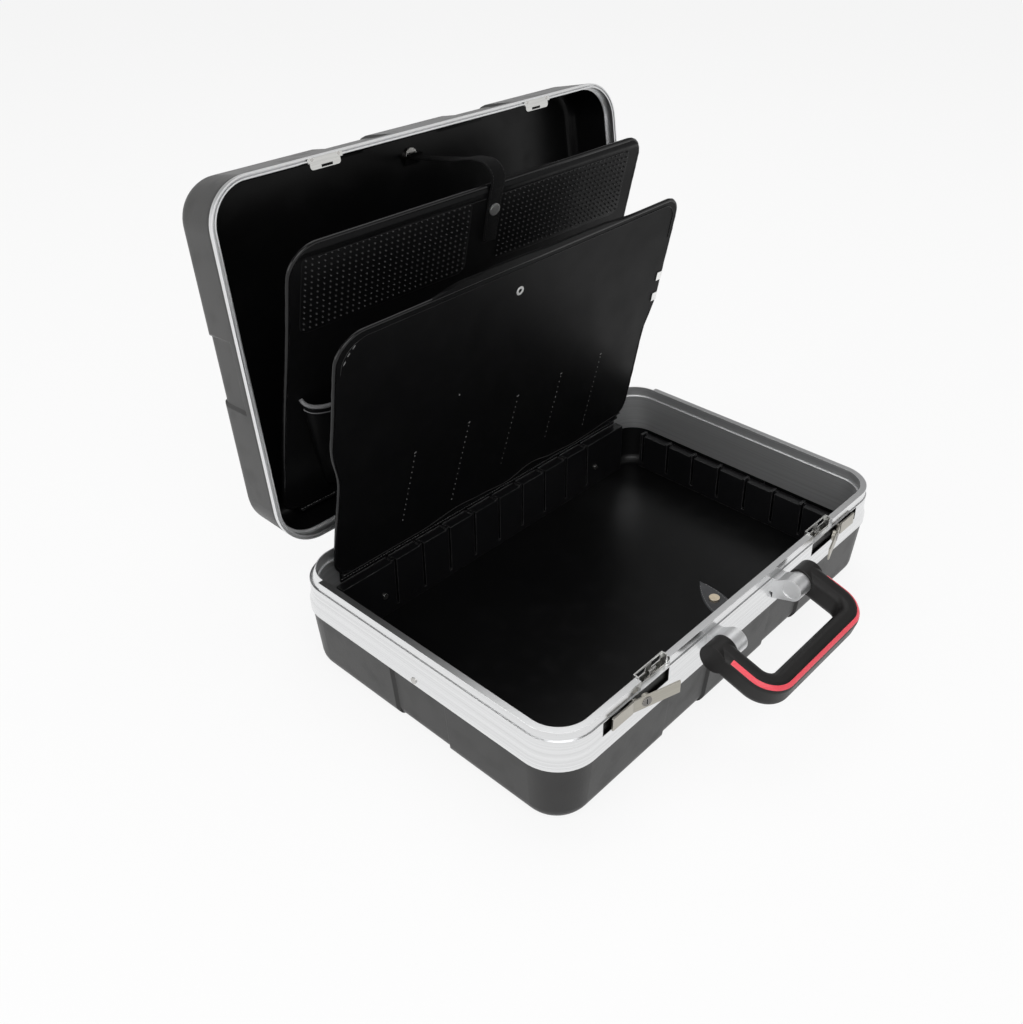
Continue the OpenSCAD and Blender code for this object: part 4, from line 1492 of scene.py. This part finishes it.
    def _pouch(self, place: Matrix) -> None:
        """Makes the tapered pouch for a long tool, with a bound mouth.

        Args:
            place: the board's own frame.
        """
        finishes, levels, steps = self.case.finishes, 30, 32
        box = self.case.extent(place, "tool_pocket")
        mesh, rim = Mesh(), Mesh()
        rings = [self._pouch_ring(box, i / levels, steps) for i in range(levels + 1)]
        mesh.add_rings(rings)
        mouth = rings[-1][:steps + 1]
        rim.add_tube([p + Vector((0, 0.3 * MM, -0.6 * MM)) for p in mouth], self.pouch_rim, 10)
        rim.add_tube([p + Vector((0, -0.3 * MM, -7.5 * MM)) for p in mouth[2:-2]], 0.5 * MM, 6)
        pouch = mesh.build("tool_pouch", [finishes.leather], place)
        finish_piece(pouch, self.body, Slot.BOARD, "tool_pocket")
        bound = rim.build("tool_pouch_mouth", [finishes.binding], place)
        finish_piece(bound, self.body, Slot.TRIM)

    def _pouch_ring(self, box: Extent, w: float, steps: int) -> list[Vector]:
        """Gives one level of the pouch: its creased outer skin and the inner one.

        Args:
            box: box of the pouch's solid.
            w: height of the level, from 0 to 1.
            steps: how many steps the level has across.

        Returns:
            Points across the outer skin and back along the inner one.
        """
        back, skin = box.high.y, self.pouch_skin
        half = box.size.x / 2 + self.pouch_spread / 2
        a = half * (0.26 + 0.74 * w ** 0.8)
        lean = self.pouch_lean * (1 - w)
        d = box.size.y * (0.30 + 0.68 * w ** 0.9)
        middle = box.middle.x - self.pouch_spread
        outer, inner = [], []
        for j in range(steps + 1):
            u = j / steps
            turn = math.pi * (1 - u)
            x, out = a * math.cos(turn), math.sin(turn) ** 0.8
            crease = wave(u, (0.4 * MM, 0.37, 9 * w)) * (1 - w) * out
            sag = -8.0 * MM * out * bell(w, 1.0, 0.35)
            z = box.low.z + box.size.z * w + sag
            stands = d * out + crease
            within = back - max(stands - skin, 0.05 * MM)
            outer.append(Vector((middle + lean + x, back - max(stands, 0.4 * MM), z)))
            inner.append(Vector((middle + lean + x * (1 - skin / a), within, z)))
        return outer + list(reversed(inner))

    def _loop(self, place: Matrix) -> None:
        """Makes the small elastic loop beside the pouch.

        Args:
            place: the board's own frame.
        """
        box = self.case.extent(place, "pocket_loop")
        half, back, steps = box.size.x / 2 * 0.9, box.high.y - 0.6 * MM, 20
        deep = box.size.y - 1.4 * MM
        path = []
        for i in range(steps + 1):
            a = math.pi * i / steps
            path.append(Vector((box.middle.x + half * math.cos(a), back - deep * math.sin(a), 0)))
        mesh = Mesh()
        ribbon(mesh, path, Vector((0, 0, 1)), box.size.z, self.loop_thick, box.middle.z)
        loop = mesh.build("pouch_loop", [self.case.finishes.webbing], place)
        finish_piece(loop, self.body, Slot.TRIM, "pocket_loop")

    def _strap(self, shape: BoardShape) -> None:
        """Makes the strap that runs from the front of the board over its edge to the lid.

        Args:
            shape: measures of the board.
        """
        place, finishes, thick = shape.place, self.case.finishes, self.strap_thick
        box = self.case.extent(place, "strap")
        anchor = self.case.extent(place, "strap_anchor").middle
        x, front, top = box.middle.x, box.low.y + thick / 2, shape.length + self.binding
        marks = [
            (front, box.low.z), (front, box.low.z + 0.02), (front, top - 0.012),
            (front - 1.0 * MM, top - 2 * MM), (front + 1 * MM, top + 8 * MM),
            (front + 12 * MM, top + 14 * MM), (front + 30 * MM, top + 10 * MM),
            (front + 52 * MM, top - 1 * MM),
            (anchor.y - 14 * MM, anchor.z + 4 * MM), (anchor.y - 4.5 * MM, anchor.z + 3 * MM),
            (anchor.y - 3.5 * MM, anchor.z - 8 * MM),
        ]
        path = smooth_path([Vector((x, y, z)) for y, z in marks], 9)
        mesh, wide = Mesh(), Vector((1, 0, 0))
        ribbon(mesh, path, wide, box.size.x, thick, 0.0)
        for side in (-1, 1):
            line = [p + Vector((side * (box.size.x / 2 - 2 * MM), 0, 0)) for p in path]
            proud = thick / 2 + 0.05 * MM
            raised = [p + n * proud for p, n in zip(line, path_normals(line, wide))]
            self.strap_seam.sew(mesh, raised, 1)
        strap = mesh.build("board_strap", [finishes.webbing, finishes.gloss_leather], place)
        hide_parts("strap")
        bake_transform(strap)


def path_normals(path: Sequence[Vector], wide: Vector) -> list[Vector]:
    """Gives the normal of a band at each point of its path.

    Args:
        path: middle line of the band.
        wide: direction of the band's width.

    Returns:
        A unit normal for each point.
    """
    normals = []
    for i in range(len(path)):
        along = path[min(i + 1, len(path) - 1)] - path[max(i - 1, 0)]
        normals.append(wide.cross(along).normalized())
    return normals


def ribbon(mesh: Mesh, path: Sequence[Vector], wide: Vector, width: float, thick: float, lift: float,
           mark: int = 0) -> None:
    """Sweeps a flat band with rounded edges along a path.

    Args:
        mesh: mesh that takes the band.
        path: middle line of the band.
        wide: direction of its width.
        width: width of the band.
        thick: thickness of the band.
        lift: how far the band is moved along its width.
        mark: material index.
    """
    half, r = width / 2, thick / 2
    rings = []
    for place, normal in zip(path, path_normals(path, wide)):
        ring = []
        for side, turn in ((1, -90), (-1, 90)):
            for k in range(5):
                a = math.radians(turn + 45 * k)
                ring.append(place + wide * (lift + side * (half - r) + r * math.cos(a))
                            + normal * (r * math.sin(a)))
        rings.append(ring)
    mesh.add_rings(rings, mark)


@dataclass
class SoftStrips:
    """The flexible strips that hold both boards, and the closure tab on the front wall.

    Attributes:
        case: the case that they belong to.
        thick: thickness of a strip.
        strip_seam: stitches along a strip.
        leaf_half: half of the closure leaf's widest part.
        leaf_thick: half of the leaf's thickness.
        leaf_seam: stitches along the leaf's edges.
    """

    case: Case
    thick: float = 1.6 * MM
    strip_seam: Stitching = Stitching(3.4 * MM, 2.2 * MM, 0.35 * MM)
    leaf_half: float = 11.6 * MM
    leaf_thick: float = 0.8 * MM
    leaf_seam: Stitching = Stitching(3.0 * MM, 2.0 * MM, 0.3 * MM)

    def build(self) -> None:
        """Makes the strips and the tab."""
        whole = Matrix.Identity(4)
        self._strip("front_board_strip", "board_hinge_strip", whole, "base")
        opened = self.case.hinge_frame("lid_board_fold", self.case.lid_turn)
        self._strip("lid_board_strip", "lid_board_hinge", opened, "lid")
        self._tab()

    def _strip(self, name: str, node: str, place: Matrix, body: str) -> None:
        """Makes a flexible strip, held along its back and stitched along both edges.

        Args:
            name: name of the piece.
            node: CAD node that the strip stands for.
            place: the frame that the strip is straight in.
            body: the body that it rides on.
        """
        count, levels, finishes = 90, 8, self.case.finishes
        box = self.case.extent(place, node)
        low, high = box.low, box.high
        thin = min(high.y - low.y, self.thick)
        mesh, rings = Mesh(), []
        for i in range(count + 1):
            x = low.x + (high.x - low.x) * i / count
            front, back = [], []
            for k in range(levels + 1):
                w = k / levels
                z = low.z + (high.z - low.z) * w + wave(x, (0.5 * MM, 0.083, 1.0)) * w
                belly = (high.y - low.y - thin) * math.sin(math.pi * w) * (0.6 + wave(x, (0.3, 0.11, 0.4)))
                front.append(Vector((x, high.y - thin - belly, z)))
                back.append(Vector((x, high.y - belly * 0.9, z)))
            rings.append(front + list(reversed(back)))
        mesh.add_rings(rings)
        for k in (1, levels - 1):
            self.strip_seam.sew(mesh, [ring[k] + Vector((0, -0.15 * MM, 0)) for ring in rings], 1)
        strip = mesh.build(name, [finishes.leather, finishes.thread], place)
        finish_piece(strip, body, Slot.LINER, node)

    def _tab(self) -> None:
        """Makes the leaf-shaped tab with its stitched edge."""
        count, steps, finishes = 36, 12, self.case.finishes
        box = self.case.extent(Matrix.Identity(4), "closure_tab")
        stud = self.case.extent(Matrix.Identity(4), "closure_stud").middle
        root = Vector((box.low.x + 8 * MM, box.low.y + 1.2 * MM, stud.z - 2.4 * MM))
        direction = Vector((stud.x - root.x, stud.y - root.y, 0)).normalized()
        side = Vector((-direction.y, direction.x, 0))
        length = (box.high.y - root.y) / direction.y
        mesh, rings, border = Mesh(), [], []
        for i in range(count + 1):
            w = i / count
            half = max(self.leaf_half * math.sin(math.pi * (0.14 + 0.86 * w)) ** 0.9, 0.25 * MM)
            middle = root + direction * (length * w) + Vector((0, 0, 1.0 * MM + 0.8 * MM * w * w))
            top, under = [], []
            for j in range(steps + 1):
                t = 2 * j / steps - 1
                cup = Vector((0, 0, 0.5 * MM * t * t * math.sin(math.pi * w)))
                place = middle + side * (half * t) + cup
                thin = self.leaf_thick * (1 - 0.55 * abs(t) ** 6)
                top.append(place + Vector((0, 0, thin)))
                under.append(place - Vector((0, 0, thin)))
            rings.append(top + list(reversed(under)))
            border.append(top)
        mesh.add_rings(rings)
        for j in (1, steps - 1):
            self.leaf_seam.sew(mesh, [row[j] for row in border[1:-3]], 1)
        leaf = mesh.build("closure_leaf", [finishes.tab_leather, finishes.thread])
        finish_piece(leaf, "base", Slot.TRIM, "closure_tab")


# ---- studio ----


@dataclass(frozen=True)
class PhotoCamera:
    """The camera solved from the photograph.

    Attributes:
        focal_px: focal length in pixels of the photograph's frame.
        width_px: width of that frame in pixels.
        azimuth: angle of the picture's right side from +X, in degrees.
        elevation: height angle of the camera in degrees.
        roll: roll in degrees.
        target: point that the camera turns about.
        distance: distance from the target.
        shift: shift of the frame across and up, in widths.
    """

    focal_px: float = 1115.39
    width_px: float = 1023.0
    azimuth: float = -49.07
    elevation: float = 29.917
    roll: float = 0.965
    target: Point = (0.12216, 0.16152, 0.103)
    distance: float = 1.24822
    shift: tuple[float, float] = (-0.0506, -0.0930)

    def build(self) -> None:
        """Makes the camera and gives it to the scene."""
        a, e, r = (math.radians(v) for v in (self.azimuth, self.elevation, self.roll))
        back = Vector((math.sin(a) * math.cos(e), -math.cos(a) * math.cos(e), math.sin(e)))
        right = Vector((math.cos(a), math.sin(a), 0.0))
        up = back.cross(right)
        across = math.cos(r) * right + math.sin(r) * up
        upward = math.cos(r) * up - math.sin(r) * right
        data = bpy.data.cameras.new("photo_camera")
        data.sensor_fit = "HORIZONTAL"
        data.sensor_width = 36.0
        data.lens = self.focal_px / self.width_px * data.sensor_width
        data.shift_x, data.shift_y = self.shift
        camera = bpy.data.objects.new("photo_camera", data)
        turn = Matrix((across, upward, back)).transposed().to_4x4()
        camera.matrix_world = Matrix.Translation(Vector(self.target) + back * self.distance) @ turn
        bpy.context.scene.collection.objects.link(camera)
        bpy.context.scene.camera = camera


@dataclass(frozen=True)
class SoftLight:
    """One area light that looks at a point.

    Attributes:
        name: light name.
        place: where it stands.
        aim: where it looks.
        size: width and height.
        power: power in watts.
    """

    name: str
    place: Point
    aim: Point
    size: tuple[float, float]
    power: float

    def build(self) -> None:
        """Makes the light."""
        data = bpy.data.lights.new(self.name, "AREA")
        data.shape = "RECTANGLE"
        data.size, data.size_y = self.size
        data.energy = self.power
        lamp = bpy.data.objects.new(self.name, data)
        direction = Vector(self.aim) - Vector(self.place)
        lamp.rotation_euler = direction.to_track_quat("-Z", "Y").to_euler()
        lamp.location = self.place
        bpy.context.scene.collection.objects.link(lamp)


@dataclass
class Studio:
    """White floor, soft lights, and surroundings that mirror darker overhead.

    Attributes:
        finishes: all materials.
        lights: the soft lights.
        reach: how far the floor reaches from the middle.
        below: how far the floor lies below the case, so that the two don't touch.
        ambient: strength of the surroundings as a light.
        low_mirror: height up to which metal mirrors white surroundings.
        high_mirror: height above which it mirrors the dark ceiling.
        ceiling: colour of that ceiling.
    """

    finishes: Finishes
    lights: tuple[SoftLight, ...] = (
        SoftLight("key_box", (-1.3, -1.5, 1.9), (0.0, 0.0, 0.1), (2.2, 1.8), 34.0),
        SoftLight("side_box", (-2.1, 0.4, 0.9), (-0.2, 0.1, 0.15), (1.4, 1.1), 12.0),
        SoftLight("top_box", (0.6, 0.5, 2.4), (0.05, 0.05, 0.1), (2.4, 2.0), 22.0),
    )
    reach: float = 14.0
    below: float = 0.6 * MM
    ambient: float = 0.26
    low_mirror: float = 0.08
    high_mirror: float = 0.50
    ceiling: Colour = (0.19, 0.195, 0.20)

    def build(self) -> None:
        """Makes the floor, the lights and the surroundings."""
        floor, far = Mesh(), self.reach
        corners = ((-far, -far), (far, -far), (far, far), (-far, far))
        floor.add([Vector((x, y, -self.below)) for x, y in corners], [(0, 1, 2, 3)])
        floor.build("studio_floor", [self.finishes.floor], smooth=False)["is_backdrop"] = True
        for light in self.lights:
            light.build()
        self._surroundings()
        bpy.context.scene.view_settings.view_transform = "Standard"

    def _surroundings(self) -> None:
        """Makes a world that is white where it is seen and dim as a light."""
        world = bpy.data.worlds.new("soft_surroundings")
        world.use_nodes = True
        bpy.context.scene.world = world
        nodes = NodeTree(world.node_tree)
        rays = nodes.add("ShaderNodeLightPath").outputs
        around = nodes.add("ShaderNodeTexCoord").outputs["Generated"]
        height = nodes.add("ShaderNodeSeparateXYZ", Vector=around).outputs["Z"]
        gradient = nodes.add("ShaderNodeValToRGB", Fac=height)
        ramp = gradient.color_ramp.elements
        ramp[0].position, ramp[0].color = self.low_mirror, (1.0, 1.0, 1.0, 1.0)
        ramp[1].position, ramp[1].color = self.high_mirror, (*self.ceiling, 1.0)
        mirrored = nodes.math("MAXIMUM", rays["Is Glossy Ray"], rays["Is Transmission Ray"])
        dim = nodes.math("MULTIPLY", nodes.math("SUBTRACT", 1.0, mirrored), self.ambient)
        shown = nodes.math("ADD", nodes.math("MULTIPLY", mirrored, gradient.outputs["Color"]), dim)
        background = world.node_tree.nodes["Background"]
        nodes.fill(background.inputs["Color"], (1.0, 1.0, 1.0, 1.0))
        nodes.fill(background.inputs["Strength"], nodes.math("MAXIMUM", shown, rays["Is Camera Ray"]))


# ---- the whole case ----


def both_sides(*stems: str) -> list[str]:
    """Names the left and the right piece of each stem."""
    return [f"{stem}_{side}" for stem in stems for side in SIDES]


def paint_hard_pieces(case: Case) -> None:
    """Gives every CAD node that stays visible its finish.

    Args:
        case: the case.
    """
    f = case.finishes
    case.paint(f.shell, "base_shell")
    case.paint(f.lid_shell, "lid_shell")
    case.paint(f.frame, "base_frame")
    case.paint(f.lid_frame, "lid_frame")
    case.paint(f.cast, *both_sides("handle_bracket", "hinge_leaf_base", "hinge_leaf_lid"))
    case.paint(f.nickel, *both_sides("latch_lever"))
    case.paint(f.catch, *both_sides("lid_catch", "hook_guide"))
    case.paint(f.pan, *both_sides("latch_pan"))
    case.paint(f.lock, *both_sides("lock_cylinder"))
    case.paint(f.steel, *both_sides("latch_bolt"), "handle_pins", "lever_pins", "hinge_pins",
               "frame_rivets", "divider_screws", "catch_rivets", "strap_anchor")
    case.paint(f.bright, "board_front_eyelet", "board_front_fittings", "strap_stud")
    case.paint(f.brass, "closure_stud")
    case.paint(f.strip, "divider_rear", "divider_front", "divider_left", "divider_right")
    case.paint(f.grip, "handle_grip")
    case.paint(f.stripe, "handle_stripe")


def main() -> None:
    """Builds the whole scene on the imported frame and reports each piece."""
    logging.basicConfig(level=logging.INFO, format="%(name)s: %(message)s")
    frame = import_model()
    joints = {joint["name"]: joint for joint in frame["joints"]}
    lid_turn = math.radians(joints["lid_hinge"]["range_deg"][1])
    hinge = Vector(joints["lid_hinge"]["pos_m"])
    closing = Matrix.Translation(hinge) @ Matrix.Rotation(lid_turn, 4, "X") @ Matrix.Translation(-hinge)
    case = Case(frame["nodes"], joints, Finishes(closing), -lid_turn)
    paint_hard_pieces(case)
    FrontBoard(case).build()
    LidBoard(case).build()
    SoftStrips(case).build()
    PhotoCamera().build()
    Studio(case.finishes).build()
    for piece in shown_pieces():
        finishes = ", ".join(slot.material.name for slot in piece.material_slots)
        LOG.info("piece %s: %s", piece.name, finishes)


if __name__ == "__main__":
    main()
